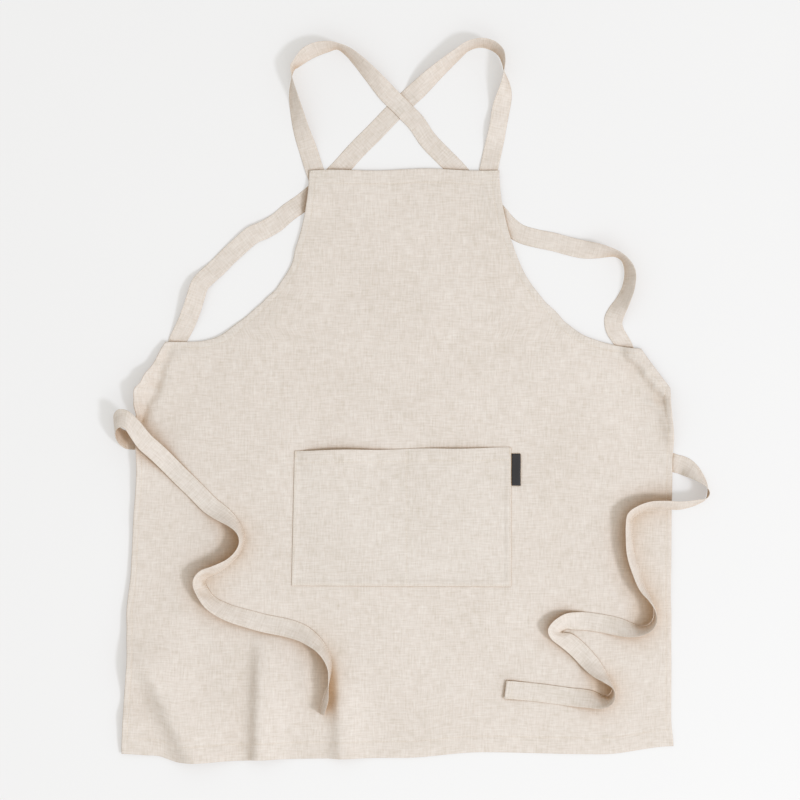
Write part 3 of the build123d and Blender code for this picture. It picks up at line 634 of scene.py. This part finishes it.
right_tie_route = [
    (355, 562, PANEL, behind, 180, 0), (357, 545, PANEL, behind, 180, 0), (359.5, 524, TABLE, 0.2, 180, 0),
    (362, 495, TABLE, 0, 180, 0), (366.5, 465, TABLE, 0, 192, 0), (374, 444, TABLE, 0, 216, 0),
    (385, 430, TABLE, 0, 238, 0), (400, 423, TABLE, 0.1, 248, 0), (415, 418, TABLE, 0.2, 248, 4),
    (428, 410, TABLE, 0.4, 238, 32), (438, 401, TABLE, 0.4, 226, 55), (447, 390, TABLE, 0.4, 206, 76),
    (450, 379, TABLE, 0.6, 176, 88), (446, 370, TABLE, 1, 138, 82), (436, 366, TABLE, 2, 112, 72),
    (420, 362, TABLE, 4, 98, 64), (405, 360, PANEL, 0.8, 91, 60), (384, 361, PANEL, 0.6, 90, 60),
    (364, 360, PANEL, 0.3, 94, 60), (347, 354, PANEL, 0.3, 110, 60), (335, 345, PANEL, 0.3, 134, 60),
    (333, 332, PANEL, 0.3, 164, 61), (333, 314, PANEL, 0.3, 180, 61), (335, 290, PANEL, 0.3, 190, 59),
    (342, 267, PANEL, 0.3, 202, 58), (351, 241, PANEL, 0.3, 208, 66), (362, 224, PANEL, 0.3, 210, 78),
    (370, 209, PANEL, 0.3, 200, 86), (371, 193, PANEL, 0.3, 178, 94), (364, 182, PANEL, 0.3, 142, 102),
    (351, 177, PANEL, 0.3, 106, 116), (336, 178, PANEL, 0.3, 92, 140), (316, 182, PANEL, 0.3, 83, 166),
    (292, 186, PANEL, 0.3, 82, 180), (270, 189, PANEL, 0.3, 85, 182), (250, 190, PANEL, 0.6, 94, 194),
    (239, 189, PANEL, 1, 112, 210), (229, 183, PANEL, 1.6, 138, 216), (224, 176, PANEL, 1.8, 166, 216),
    (229, 169, PANEL, 1.8, 198, 210), (241, 162, PANEL, 1.6, 218, 198), (258, 148, PANEL, 0.6, 224, 190),
    (274, 132, PANEL, 0.3, 224, 192), (289, 116, PANEL, 0.3, 217, 220), (300, 105, PANEL, 0.3, 208, 246),
    (309, 94, PANEL, 0.3, 188, 264), (310, 84, PANEL, 0.3, 160, 277), (305, 76, PANEL, 0.3, 126, 291),
    (293, 73, PANEL, 0.3, 100, 314), (278, 75, PANEL, 0.3, 86, 338), (251, 77, PANEL, 0.3, 81, 356),
    (222, 81, PANEL, 0.3, 82, 360), (189, 85, PANEL, 0.6, 82, 360), (165, 88, PANEL, 2, 82, 360),
    (152, 89, PANEL, 3.5, 82, 360),
]


station_steps = 16                  # points between two stations, before they are spaced evenly
ribbon_step = 2.4


def smooth_stations(route, spacing):
    """Catmull-Rom through the stations, then evenly spaced along the strap."""
    rows = np.array(route, float)
    rows = np.vstack([2 * rows[0] - rows[1], rows, 2 * rows[-1] - rows[-2]])
    fine = []
    for i in range(1, len(rows) - 2):
        p0, p1, p2, p3 = rows[i - 1:i + 3]
        for t in np.arange(0, 1, 1 / station_steps):
            fine.append(0.5 * (2 * p1 + (p2 - p0) * t + (2 * p0 - 5 * p1 + 4 * p2 - p3) * t ** 2
                               + (3 * p1 - p0 - 3 * p2 + p3) * t ** 3))
    fine.append(rows[-2])
    fine = np.array(fine)
    centre = strap_centre(fine)
    run = run_along(centre)
    count = int(run[-1] / spacing) + 1
    even = np.linspace(0, run[-1], count)
    return np.stack([np.interp(even, run, column) for column in fine.T], 1), even


def strap_centre(rows):
    """The strap's middle line: it rises by half its width where it stands on edge."""
    x, y, lies_on, rise, _, tilt = rows.T
    stood = strap_wide / 2 * np.abs(np.sin(np.radians(tilt)))
    z = np.clip(lies_on, 0, 1) * face_height(x, y) + rise + stood + cloth / 2
    return np.stack([x, y, z], 1)


# A tie is crumpled where it is bent over sharply.
crumpled_at = ((-291, 228), (-297, 250), (226, 176), (305, 80))
crumple_more = 3.6
crumple_reach = 17


class Ribbon:
    """A strap or tie: its middle line, edge direction and face direction, evenly spaced."""

    def __init__(self, route, seed):
        rows, self.run = smooth_stations(route, ribbon_step)
        self.centre = strap_centre(rows)
        along = np.gradient(self.centre, axis=0)
        self.along = along / np.linalg.norm(along, axis=1)[:, None]
        turn, stand = np.radians(rows[:, 4:]).T
        flat = np.cos(stand)
        self.edge = np.stack([flat * np.cos(turn), flat * np.sin(turn), np.sin(stand)], 1)
        face = np.cross(self.along, self.edge)
        self.face = face / np.linalg.norm(face, axis=1)[:, None]
        self.seed = seed
        self.length = self.run[-1] * MM
        self.crumple = 1.0
        for x, y in crumpled_at:
            away = np.hypot(self.centre[:, 0] - x, self.centre[:, 1] - y)
            self.crumple = self.crumple + crumple_more * np.exp(-(away / crumple_reach) ** 2)

    def wrinkle(self, across):
        """Small waves along the strap, least at its edges and more where it is crumpled."""
        waves = 0.22 * np.sin(self.run / 6.1 + 2.2 * across + self.seed)
        waves = waves + 0.16 * np.sin(self.run / 3.7 - 3.1 * across + 2 * self.seed)
        strength = 0.5 + 0.5 * np.sin(self.run / 47 + self.seed)
        return waves * np.clip(1.3 - abs(across), 0, 1) * strength * self.crumple

    def at(self, across, above):
        """Points at a share across the strap, from -1 to 1, and so far out of its face.

        They are moved up off the panel, down under it or up off the table where they touch."""
        nudge = 0.35 * np.sin(self.run / 31 + self.seed) + 0.2 * np.sin(self.run / 11.3 + 1.7 * self.seed)
        sideways = strap_wide / 2 * across + nudge
        middle = self.centre + self.edge * sideways[:, None] + self.face * self.wrinkle(across)[:, None]
        underside = middle - np.abs(self.face) * np.array([0, 0, cloth / 2])
        x, y = middle[:, 0], middle[:, 1]
        here = inside_outline(x, y)
        top = face_height(x, y)
        over = self.centre[:, 2] > face_height(self.centre[:, 0], self.centre[:, 1]) - cloth
        raise_by = np.where(here & over, np.maximum(top + contact - underside[:, 2], 0), 0)
        lid = top - 2 * cloth - contact / 2
        lower_by = np.where(here & ~over, np.maximum(underside[:, 2] + cloth - lid, 0), 0)
        floor_by = np.maximum(0.02 - underside[:, 2] + lower_by, 0)
        middle[:, 2] += raise_by - lower_by + floor_by
        return middle + self.face * above


ribbon_stitches = 0.85              # the edge stitches run at this share of the half width
across_steps = (0.965, 0.9, ribbon_stitches, 0.8, 0.6, 0.4, 0.2, 0,
                -0.2, -0.4, -0.6, -0.8, -ribbon_stitches, -0.9, -0.965)


def half_thickness(across):
    """Full in the middle, rounded at the folded edges and pulled in along the stitches."""
    pulled = 0.25 * math.exp(-((abs(across) - ribbon_stitches) / 0.045) ** 2)
    return cloth / 2 * math.sqrt(1 - abs(across) ** 22) * (1 - pulled)


def make_ribbon(name, ribbon):
    """A closed band, shut by a flat face at each end."""
    ring = [(1.0, 0.0)] + [(a, half_thickness(a)) for a in across_steps]
    ring += [(-1.0, 0.0)] + [(a, -half_thickness(a)) for a in reversed(across_steps)]
    columns = np.stack([ribbon.at(a, t) for a, t in ring], 1)
    rows, around = columns.shape[:2]
    index = np.arange(rows * around).reshape(rows, around)
    faces = []
    for i in range(rows - 1):
        for j in range(around):
            k = (j + 1) % around
            faces.append((index[i, j], index[i, k], index[i + 1, k], index[i + 1, j]))
    faces.append(tuple(index[0, ::-1]))
    faces.append(tuple(index[-1, :]))
    own_cloth = 40 * ribbon.seed    # each strap has a stretch of weave to itself
    flat = np.array([[(a * strap_wide / 2 + own_cloth, r) for a, t in ring] for r in ribbon.run])
    return make_piece(name, columns.reshape(-1, 3), faces, flat.reshape(-1, 2))


# ---------------------------------------------------------------- stitches
thread_width = 0.62
seam_pitch = 3.3
tack_pitch = 1.4                    # bar tacks are sewn densely
box_pitch = 2.6
stitch_share = 0.78                 # of the pitch: the rest is the gap between two stitches


def stitch_tree():
    """Geometry Nodes: a line becomes a row of stitches, each a short bead of thread."""
    tree = bpy.data.node_groups.new("row_of_stitches", "GeometryNodeTree")
    face = tree.interface
    face.new_socket("Line", in_out="INPUT", socket_type="NodeSocketGeometry")
    for name in ("Pitch", "Stitch length", "Thread width"):
        face.new_socket(name, in_out="INPUT", socket_type="NodeSocketFloat")
    face.new_socket("Thread", in_out="INPUT", socket_type="NodeSocketMaterial")
    face.new_socket("Stitches", in_out="OUTPUT", socket_type="NodeSocketGeometry")
    group = add_node(tree, "NodeGroupInput")
    curve = add_node(tree, "GeometryNodeMeshToCurve", {"Mesh": group.outputs["Line"]})
    even = add_node(tree, "GeometryNodeResampleCurve",
                    {"Curve": curve.outputs[0], "Length": group.outputs["Pitch"]}, mode="LENGTH")
    bead = add_node(tree, "GeometryNodeMeshUVSphere", {"Segments": 8, "Rings": 6, "Radius": 0.5})
    size = add_node(tree, "ShaderNodeCombineXYZ", {0: group.outputs["Stitch length"],
                                                   1: group.outputs["Thread width"],
                                                   2: group.outputs["Thread width"]})
    tangent = add_node(tree, "GeometryNodeInputTangent")
    turn = add_node(tree, "FunctionNodeAlignRotationToVector", {"Vector": tangent.outputs[0]}, axis="X")
    laid = add_node(tree, "GeometryNodeInstanceOnPoints",
                    {"Points": even.outputs[0], "Instance": bead.outputs["Mesh"],
                     "Rotation": turn.outputs[0], "Scale": size.outputs[0]})
    real = add_node(tree, "GeometryNodeRealizeInstances", {0: laid.outputs[0]})
    smooth = add_node(tree, "GeometryNodeSetShadeSmooth", {0: real.outputs[0]})
    coated = add_node(tree, "GeometryNodeSetMaterial", {"Geometry": smooth.outputs[0],
                                                        "Material": group.outputs["Thread"]})
    add_node(tree, "NodeGroupOutput", {"Stitches": coated.outputs[0]})
    return tree


def sew(name, lines, nodes, pitch=seam_pitch):
    """Rows of stitches along lines of points, in millimetres."""
    points = np.vstack(lines)
    edges = []
    start = 0
    for line in lines:
        edges += [(start + i, start + i + 1) for i in range(len(line) - 1)]
        start += len(line)
    mesh = bpy.data.meshes.new(name + "_line")
    mesh.from_pydata([tuple(p) for p in points * MM], edges, [])
    line_object = add_object(name + "_line", mesh)
    modifier = line_object.modifiers.new("stitches", "NODES")
    modifier.node_group = stitches
    sizes = {"Pitch": pitch * MM, "Stitch length": stitch_share * pitch * MM,
             "Thread width": thread_width * MM, "Thread": thread}
    for item in stitches.interface.items_tree:
        if item.name in sizes and item.in_out == "INPUT":
            modifier[item.identifier] = sizes[item.name]
    evaluated = line_object.evaluated_get(bpy.context.evaluated_depsgraph_get())
    made = bpy.data.meshes.new_from_object(evaluated)
    made.name = name
    bpy.data.objects.remove(line_object)
    stand_for(add_object(name, made), nodes)


def on_panel(u, v):
    """Points on the panel's face, a stitch's own pull below it."""
    x, y = lay(u, v)
    return np.stack([x, y, face_height(x, y) - stitch_pull], 1)


def line_between(start, end, step=2.0):
    count = max(2, round(math.hypot(end[0] - start[0], end[1] - start[1]) / step) + 1)
    return np.linspace(start[0], end[0], count), np.linspace(start[1], end[1], count)


def sewn(start, end, place=on_panel):
    """A straight row between two points of the flat pattern, laid on the panel or the pocket."""
    return place(*line_between(start, end))


def sewn_round(corners, place=on_panel):
    return [sewn(a, b, place) for a, b in zip(corners, corners[1:])]


# ---------------------------------------------------------------- materials
def colour(text):
    """An sRGB hex value as linear red, green, blue and alpha."""
    values = [int(text[i:i + 2], 16) / 255 for i in (0, 2, 4)]
    linear = [v / 12.92 if v <= 0.04045 else ((v + 0.055) / 1.055) ** 2.4 for v in values]
    return (*linear, 1.0)


def add_node(tree, kind, inputs=None, **settings):
    """One node with its settings; an input is a value or another node's output."""
    node = tree.nodes.new(kind)
    for name, value in settings.items():
        setattr(node, name, value)
    for name, value in (inputs or {}).items():
        if isinstance(value, bpy.types.NodeSocket):
            tree.links.new(value, node.inputs[name])
        else:
            node.inputs[name].default_value = value
    return node


def new_material(name):
    material = bpy.data.materials.new(name)
    material.use_nodes = True
    material.node_tree.nodes.clear()
    return material, material.node_tree


def stretched_noise(tree, where, across_mm, along_mm, detail=2.0):
    """Noise drawn out into streaks; the sizes are those of one streak."""
    per_metre = (1 / (across_mm * MM), 1 / (along_mm * MM), 1)
    scaled = add_node(tree, "ShaderNodeMapping", {"Vector": where, "Scale": per_metre})
    noise = add_node(tree, "ShaderNodeTexNoise",
                     {"Vector": scaled.outputs[0], "Scale": 1.0, "Detail": detail})
    return noise.outputs[0]


def weighted_sum(tree, terms):
    """The sum of several outputs, each times its weight."""
    total = 0.0
    for output, weight in terms:
        total = add_node(tree, "ShaderNodeMath", {0: output, 1: weight, 2: total},
                         operation="MULTIPLY_ADD").outputs[0]
    return total


def washed_linen():
    """Undyed flax in plain weave, washed soft: uneven threads show as faint streaks both ways,
    the surface is matt with a trace of nap, and light that comes through it is warm."""
    material, tree = new_material("washed_linen_plain_weave")
    where = add_node(tree, "ShaderNodeUVMap", uv_map="cloth").outputs[0]
    # Real threads are about 0.7 mm apart. Slubs and threads are drawn two to three times as
    # coarse, because they would be too fine to show.
    slub_wide, slub_long = 2.2, 20
    thread_wide, thread_long = 1.3, 9
    warp = stretched_noise(tree, where, slub_wide, slub_long)
    weft = stretched_noise(tree, where, slub_long, slub_wide)
    fine_warp = stretched_noise(tree, where, thread_wide, thread_long)
    fine_weft = stretched_noise(tree, where, thread_long, thread_wide)
    mottle = stretched_noise(tree, where, 14, 14, 3.0)      # uneven washing
    patch = stretched_noise(tree, where, 95, 120)           # one hand's breadth differs from the next
    threads = weighted_sum(tree, [(warp, 0.75), (weft, 0.75), (fine_warp, 0.35), (fine_weft, 0.35),
                                  (mottle, 0.3), (patch, 0.3)])
    shade = add_node(tree, "ShaderNodeMapRange", {"Value": threads, "From Min": 0.68, "From Max": 2.12})
    tone = add_node(tree, "ShaderNodeValToRGB", {"Fac": shade.outputs[0]})
    ramp_stops = tone.color_ramp
    ramp_stops.elements[0].color = colour("C6BCAA")
    ramp_stops.elements[1].color = colour("FBF7F0")
    middle = ramp_stops.elements.new(0.5)
    middle.color = colour("E4DCD3")
    # Painted shade: where the AO node finds the cloth hemmed in by nearby cloth, the base colour is
    # darkened and tinted tan. This stands in for the warm light that linen bounces and lets through into
    # its shadows.
    occlusion = add_node(tree, "ShaderNodeAmbientOcclusion", {"Distance": 42 * MM}, samples=6)
    painted_shade_share = add_node(tree, "ShaderNodeMapRange",
                      {"Value": occlusion.outputs["AO"], "From Min": 0.9, "From Max": 0.35})
    shade_tinted_tone = add_node(tree, "ShaderNodeMix",
                      {0: painted_shade_share.outputs[0], 6: tone.outputs[0], 7: colour("DCBE98")},
                      data_type="RGBA", blend_type="MULTIPLY")
    crimp = weighted_sum(tree, [(warp, 0.6), (weft, 0.6), (fine_warp, 0.5), (fine_weft, 0.5)])
    weave = add_node(tree, "ShaderNodeBump", {"Height": crimp, "Strength": 0.55, "Distance": 0.35 * MM})
    rumple = stretched_noise(tree, where, 22, 30, 3.0)
    soft = add_node(tree, "ShaderNodeBump",
                    {"Height": rumple, "Strength": 0.5, "Distance": 1.6 * MM, "Normal": weave.outputs[0]})
    rough = add_node(tree, "ShaderNodeMapRange",
                     {"Value": threads, "From Min": 1.0, "From Max": 1.8, "To Min": 0.96, "To Max": 0.84})
    # The base colour carries the painted tan shade from the AO tint above.
    body = add_node(tree, "ShaderNodeBsdfPrincipled",
                    {"Base Color": shade_tinted_tone.outputs[2], "Roughness": rough.outputs[0],
                     "Normal": soft.outputs[0], "IOR": 1.45, "Specular IOR Level": 0.25,
                     "Sheen Weight": 0.12, "Sheen Roughness": 0.55})
    through_cloth = add_node(tree, "ShaderNodeBsdfTranslucent",
                             {"Color": colour("D2A468"), "Normal": soft.outputs[0]})
    share_through = 0.16
    both = add_node(tree, "ShaderNodeMixShader",
                    {0: share_through, 1: body.outputs[0], 2: through_cloth.outputs[0]})
    add_node(tree, "ShaderNodeOutputMaterial", {"Surface": both.outputs[0]})
    return material


def sewing_thread():
    """Spun cotton-wrapped thread in the cloth's own colour: a little smoother and lighter."""
    material, tree = new_material("cotton_sewing_thread")
    where = add_node(tree, "ShaderNodeTexCoord").outputs["Object"]
    twist = add_node(tree, "ShaderNodeTexWave", {"Vector": where, "Scale": 0.35 / MM, "Distortion": 1.0},
                     bands_direction="DIAGONAL")
    tone = add_node(tree, "ShaderNodeMix",
                    {0: twist.outputs["Fac"], 6: colour("D6CCBC"), 7: colour("F0E9DE")}, data_type="RGBA")
    bump = add_node(tree, "ShaderNodeBump",
                    {"Height": twist.outputs["Fac"], "Strength": 0.3, "Distance": 0.1 * MM})
    body = add_node(tree, "ShaderNodeBsdfPrincipled",
                    {"Base Color": tone.outputs[2], "Roughness": 0.72, "Normal": bump.outputs[0],
                     "Sheen Weight": 0.1, "Sheen Roughness": 0.5})
    add_node(tree, "ShaderNodeOutputMaterial", {"Surface": body.outputs[0]})
    return material


def damask_tape():
    """Dense woven polyester tape, near black: fine ribs across it and a faint silky light."""
    material, tree = new_material("woven_polyester_label_tape")
    where = add_node(tree, "ShaderNodeUVMap", uv_map="cloth").outputs[0]
    rib_pitch = 0.9 * MM            # real ribs are 0.3 mm apart, too fine to show
    wave_turn = 20                  # a wave texture turns this many radians a unit
    ribs = add_node(tree, "ShaderNodeTexWave",
                    {"Vector": where, "Scale": 2 * math.pi / wave_turn / rib_pitch, "Distortion": 0.6,
                     "Detail": 1.0}, bands_direction="Y")
    fleck = stretched_noise(tree, where, 0.8, 3.0)
    mixed = weighted_sum(tree, [(ribs.outputs["Fac"], 0.5), (fleck, 0.6)])
    tone = add_node(tree, "ShaderNodeMix", {0: mixed, 6: colour("131114"), 7: colour("29262A")},
                    data_type="RGBA")
    bump = add_node(tree, "ShaderNodeBump",
                    {"Height": ribs.outputs["Fac"], "Strength": 0.5, "Distance": 0.12 * MM})
    body = add_node(tree, "ShaderNodeBsdfPrincipled",
                    {"Base Color": tone.outputs[2], "Roughness": 0.55, "Normal": bump.outputs[0],
                     "Sheen Weight": 0.15, "Sheen Roughness": 0.4})
    add_node(tree, "ShaderNodeOutputMaterial", {"Surface": body.outputs[0]})
    return material


def painted_table():
    """A smooth board, matt and pale; it glows a little of itself, so that shadows stay light."""
    material, tree = new_material("matt_white_board")
    where = add_node(tree, "ShaderNodeTexCoord").outputs["Object"]
    cloudy = add_node(tree, "ShaderNodeTexNoise", {"Vector": where, "Scale": 3.0, "Detail": 2.0}).outputs[0]
    tone = add_node(tree, "ShaderNodeMix", {0: cloudy, 6: colour("B7B7B7"), 7: colour("B9B9B9")},
                    data_type="RGBA")
    body = add_node(tree, "ShaderNodeBsdfPrincipled",
                    {"Base Color": tone.outputs[2], "Roughness": 0.85, "Specular IOR Level": 0.2,
                     "Emission Color": colour("FFFFFF"), "Emission Strength": 0.35})
    add_node(tree, "ShaderNodeOutputMaterial", {"Surface": body.outputs[0]})
    return material


linen = washed_linen()
thread = sewing_thread()
tape = damask_tape()
stitches = stitch_tree()

# ---------------------------------------------------------------- the cloth pieces
panel = finish_piece(make_panel(), linen, ["front_panel"])

for word, side in (("left", -1), ("right", 1)):
    facing = make_facing("armhole_bias_" + word, side)
    finish_piece(facing, linen, ["armhole_facing_" + word])

pocket = finish_piece(make_pocket(), linen, ["pocket"])

label = finish_piece(make_label(), tape, ["label"], body="label")

ribbons = {
    "strap_left": Ribbon(left_strap_route, 1),
    "strap_right": Ribbon(right_strap_route, 2),
    "tie_left": Ribbon(left_tie_route, 3),
    "tie_right": Ribbon(right_tie_route, 4),
}
for name, ribbon in ribbons.items():
    node = ("shoulder_" if name.startswith("strap") else "waist_") + name
    piece = finish_piece(make_ribbon("linen_" + name, ribbon), linen, [node])

# ---------------------------------------------------------------- the sewing
def sew_straight_hems():
    hem_line = panel_bottom + bottom_hem - seam_inset
    end = hem_half - side_hem
    sew("bottom_hem_thread", [sewn((-end, hem_line), (end, hem_line))], ["bottom_hem_stitching"])
    bib_line = panel_top - bib_hem + seam_inset
    end = bib_half - seam_inset
    sew("bib_hem_thread", [sewn((-end, bib_line), (end, bib_line))], ["bib_hem_stitching"])


def sew_side(word, side):
    """The hem up one side and round the waist corner, then the armhole's facing."""
    side_line = side_hem - seam_inset
    corners = [(hem_half - side_line, panel_bottom + bottom_hem),
               (skirt_half - side_line, skirt_corner - 2.5),
               (waist_half - side_line + 2.0, waist - side_line), (armhole_outer, waist - side_line)]
    rows = sewn_round([(side * x, y) for x, y in corners])
    sew("side_hem_thread_" + word, rows, ["side_hem_stitching_" + word])
    curve, inward = armhole_line(side)
    curve = curve + inward * (facing_width - seam_inset)
    curve = curve[curve[:, 1] < panel_top - bib_hem]
    sew("armhole_thread_" + word, [on_panel(*curve.T)], ["armhole_stitching_" + word])


def sew_pocket():
    """Round three sides, along the mouth's hem, down the divider, and a bar tack at each corner."""
    half = pocket_half - seam_inset
    mouth_line = pocket_mouth - pocket_hem + seam_inset
    foot_line = pocket_floor + seam_inset
    corners = [(-half, mouth_line), (-half, foot_line), (half, foot_line), (half, mouth_line)]
    sew("pocket_edge_thread", sewn_round(corners, on_pocket), ["pocket_edge_stitching"])
    sew("pocket_mouth_thread", [sewn((-half, mouth_line), (half, mouth_line), on_pocket)],
        ["pocket_mouth_stitching"])
    sew("pocket_divider_thread", [sewn((divider, foot_line), (divider, pocket_mouth - 2), on_pocket)],
        ["pocket_divider_stitching"])
    tack_top, tack_foot = pocket_mouth - 1.5, pocket_mouth - 10.5
    columns = [side * half + offset for side in (-1, 1) for offset in (-0.7, 0, 0.7)]
    tacks = [sewn((x, tack_top), (x, tack_foot), on_pocket) for x in columns]
    sew("pocket_bar_tack_thread", tacks, ["pocket_bar_tacks"], pitch=tack_pitch)


def sew_strap_and_tie_ends():
    """A crossed box over each strap at the bib, and a short bar where each end is sewn behind."""
    boxes = []
    y_low, y_high = panel_top - 15, panel_top - 2
    for side in (-1, 1):
        x_near, x_far = side * (bib_half - 23), side * (bib_half - 4)
        boxes += sewn_round([(x_near, y_low), (x_far, y_low), (x_far, y_high), (x_near, y_high),
                             (x_near, y_low), (x_far, y_high)])
        boxes.append(sewn((x_near, y_high), (x_far, y_low)))
    sew("strap_front_thread", boxes, ["strap_front_stitching"], pitch=box_pitch)
    strap_seat = (armhole_outer + waist_half) / 2
    tie_seat = 352.5
    for name, node, middle, half, below_waist in (
            ("strap_back_thread", "strap_back_stitching", strap_seat, 9.5, 24),
            ("tie_root_thread", "tie_root_stitching", tie_seat, 6.5, 36)):
        line = waist - below_waist
        bars = [sewn((side * middle - half, line), (side * middle + half, line)) for side in (-1, 1)]
        sew(name, bars, [node], pitch=box_pitch)


def sew_ribbons():
    """Stitches along both edges of each strap and tie, and across each tie's free end."""
    edges = (-ribbon_stitches, ribbon_stitches)
    for name, ribbon in ribbons.items():
        rows = [ribbon.at(a, side * half_thickness(ribbon_stitches)) for a in edges for side in (-1, 1)]
        sew(name + "_edge_thread", rows, [])
    for word in ("left", "right"):
        ribbon = ribbons["tie_" + word]
        place = len(ribbon.run) - 5     # a few points in from the end
        across = np.linspace(-0.8, 0.8, 12)
        rows = [np.array([ribbon.at(a, side * cloth / 2)[place] for a in across]) for side in (-1, 1)]
        sew("tie_end_thread_" + word, rows, ["tie_end_stitching_" + word])


sew_straight_hems()
sew_side("left", -1)
sew_side("right", 1)
sew_pocket()
sew_strap_and_tie_ends()
sew_ribbons()

# ---------------------------------------------------------------- table, light and camera
def make_table(reach=7.0):
    """A plain board, metres wide; it lies just under the cloth."""
    mesh = bpy.data.meshes.new("table")
    corners = [(-reach, -reach, 0), (reach, -reach, 0), (reach, reach, 0), (-reach, reach, 0)]
    mesh.from_pydata(corners, [], [(0, 1, 2, 3)])
    mesh.materials.append(painted_table())
    table = add_object("table", mesh)
    table.location = (0, 0, -0.1 * MM)


def soft_light(name, toward, distance, watts, tint=(1.0, 1.0, 1.0)):
    """A round softbox, seen from the middle of the apron in the direction toward."""
    data = bpy.data.lights.new(name, "AREA")
    data.shape = "DISK"
    data.size = 1.5
    data.energy = watts
    data.color = tint
    light = add_object(name, data)
    light.location = middle_of_view + toward * distance
    light.rotation_mode = "QUATERNION"
    light.rotation_quaternion = toward.to_track_quat("Z", "Y")


def make_studio_air():
    """Even, slightly warm light from all round."""
    world = bpy.data.worlds.new("studio")
    world.use_nodes = True
    world.node_tree.nodes.clear()
    sky = add_node(world.node_tree, "ShaderNodeBackground",
                   {"Color": (1.0, 0.98, 0.935, 1), "Strength": 0.795})
    add_node(world.node_tree, "ShaderNodeOutputWorld", {"Surface": sky.outputs[0]})
    bpy.context.scene.world = world


def make_camera(height=2.786):
    """Straight above the apron, looking down."""
    data = bpy.data.cameras.new("camera")
    data.lens = 85
    data.sensor_width = 36
    camera = add_object("camera", data)
    camera.location = middle_of_view + Vector((0, 0, height))
    bpy.context.scene.camera = camera
    bpy.context.scene.view_settings.view_transform = "Standard"


middle_of_view = Vector((-2.95 * MM, 515.1 * MM, 0))
key_height, key_compass = math.radians(46), math.radians(-26)
toward_key = Vector((math.cos(key_height) * math.cos(key_compass),
                     math.cos(key_height) * math.sin(key_compass), math.sin(key_height)))
make_table()
soft_light("softbox", toward_key, distance=9.0, watts=335, tint=(0.96, 1.0, 1.10))
soft_light("fill", Vector((0.3, -0.6, 0.74)).normalized(), distance=3.0, watts=9)
make_studio_air()
make_camera()
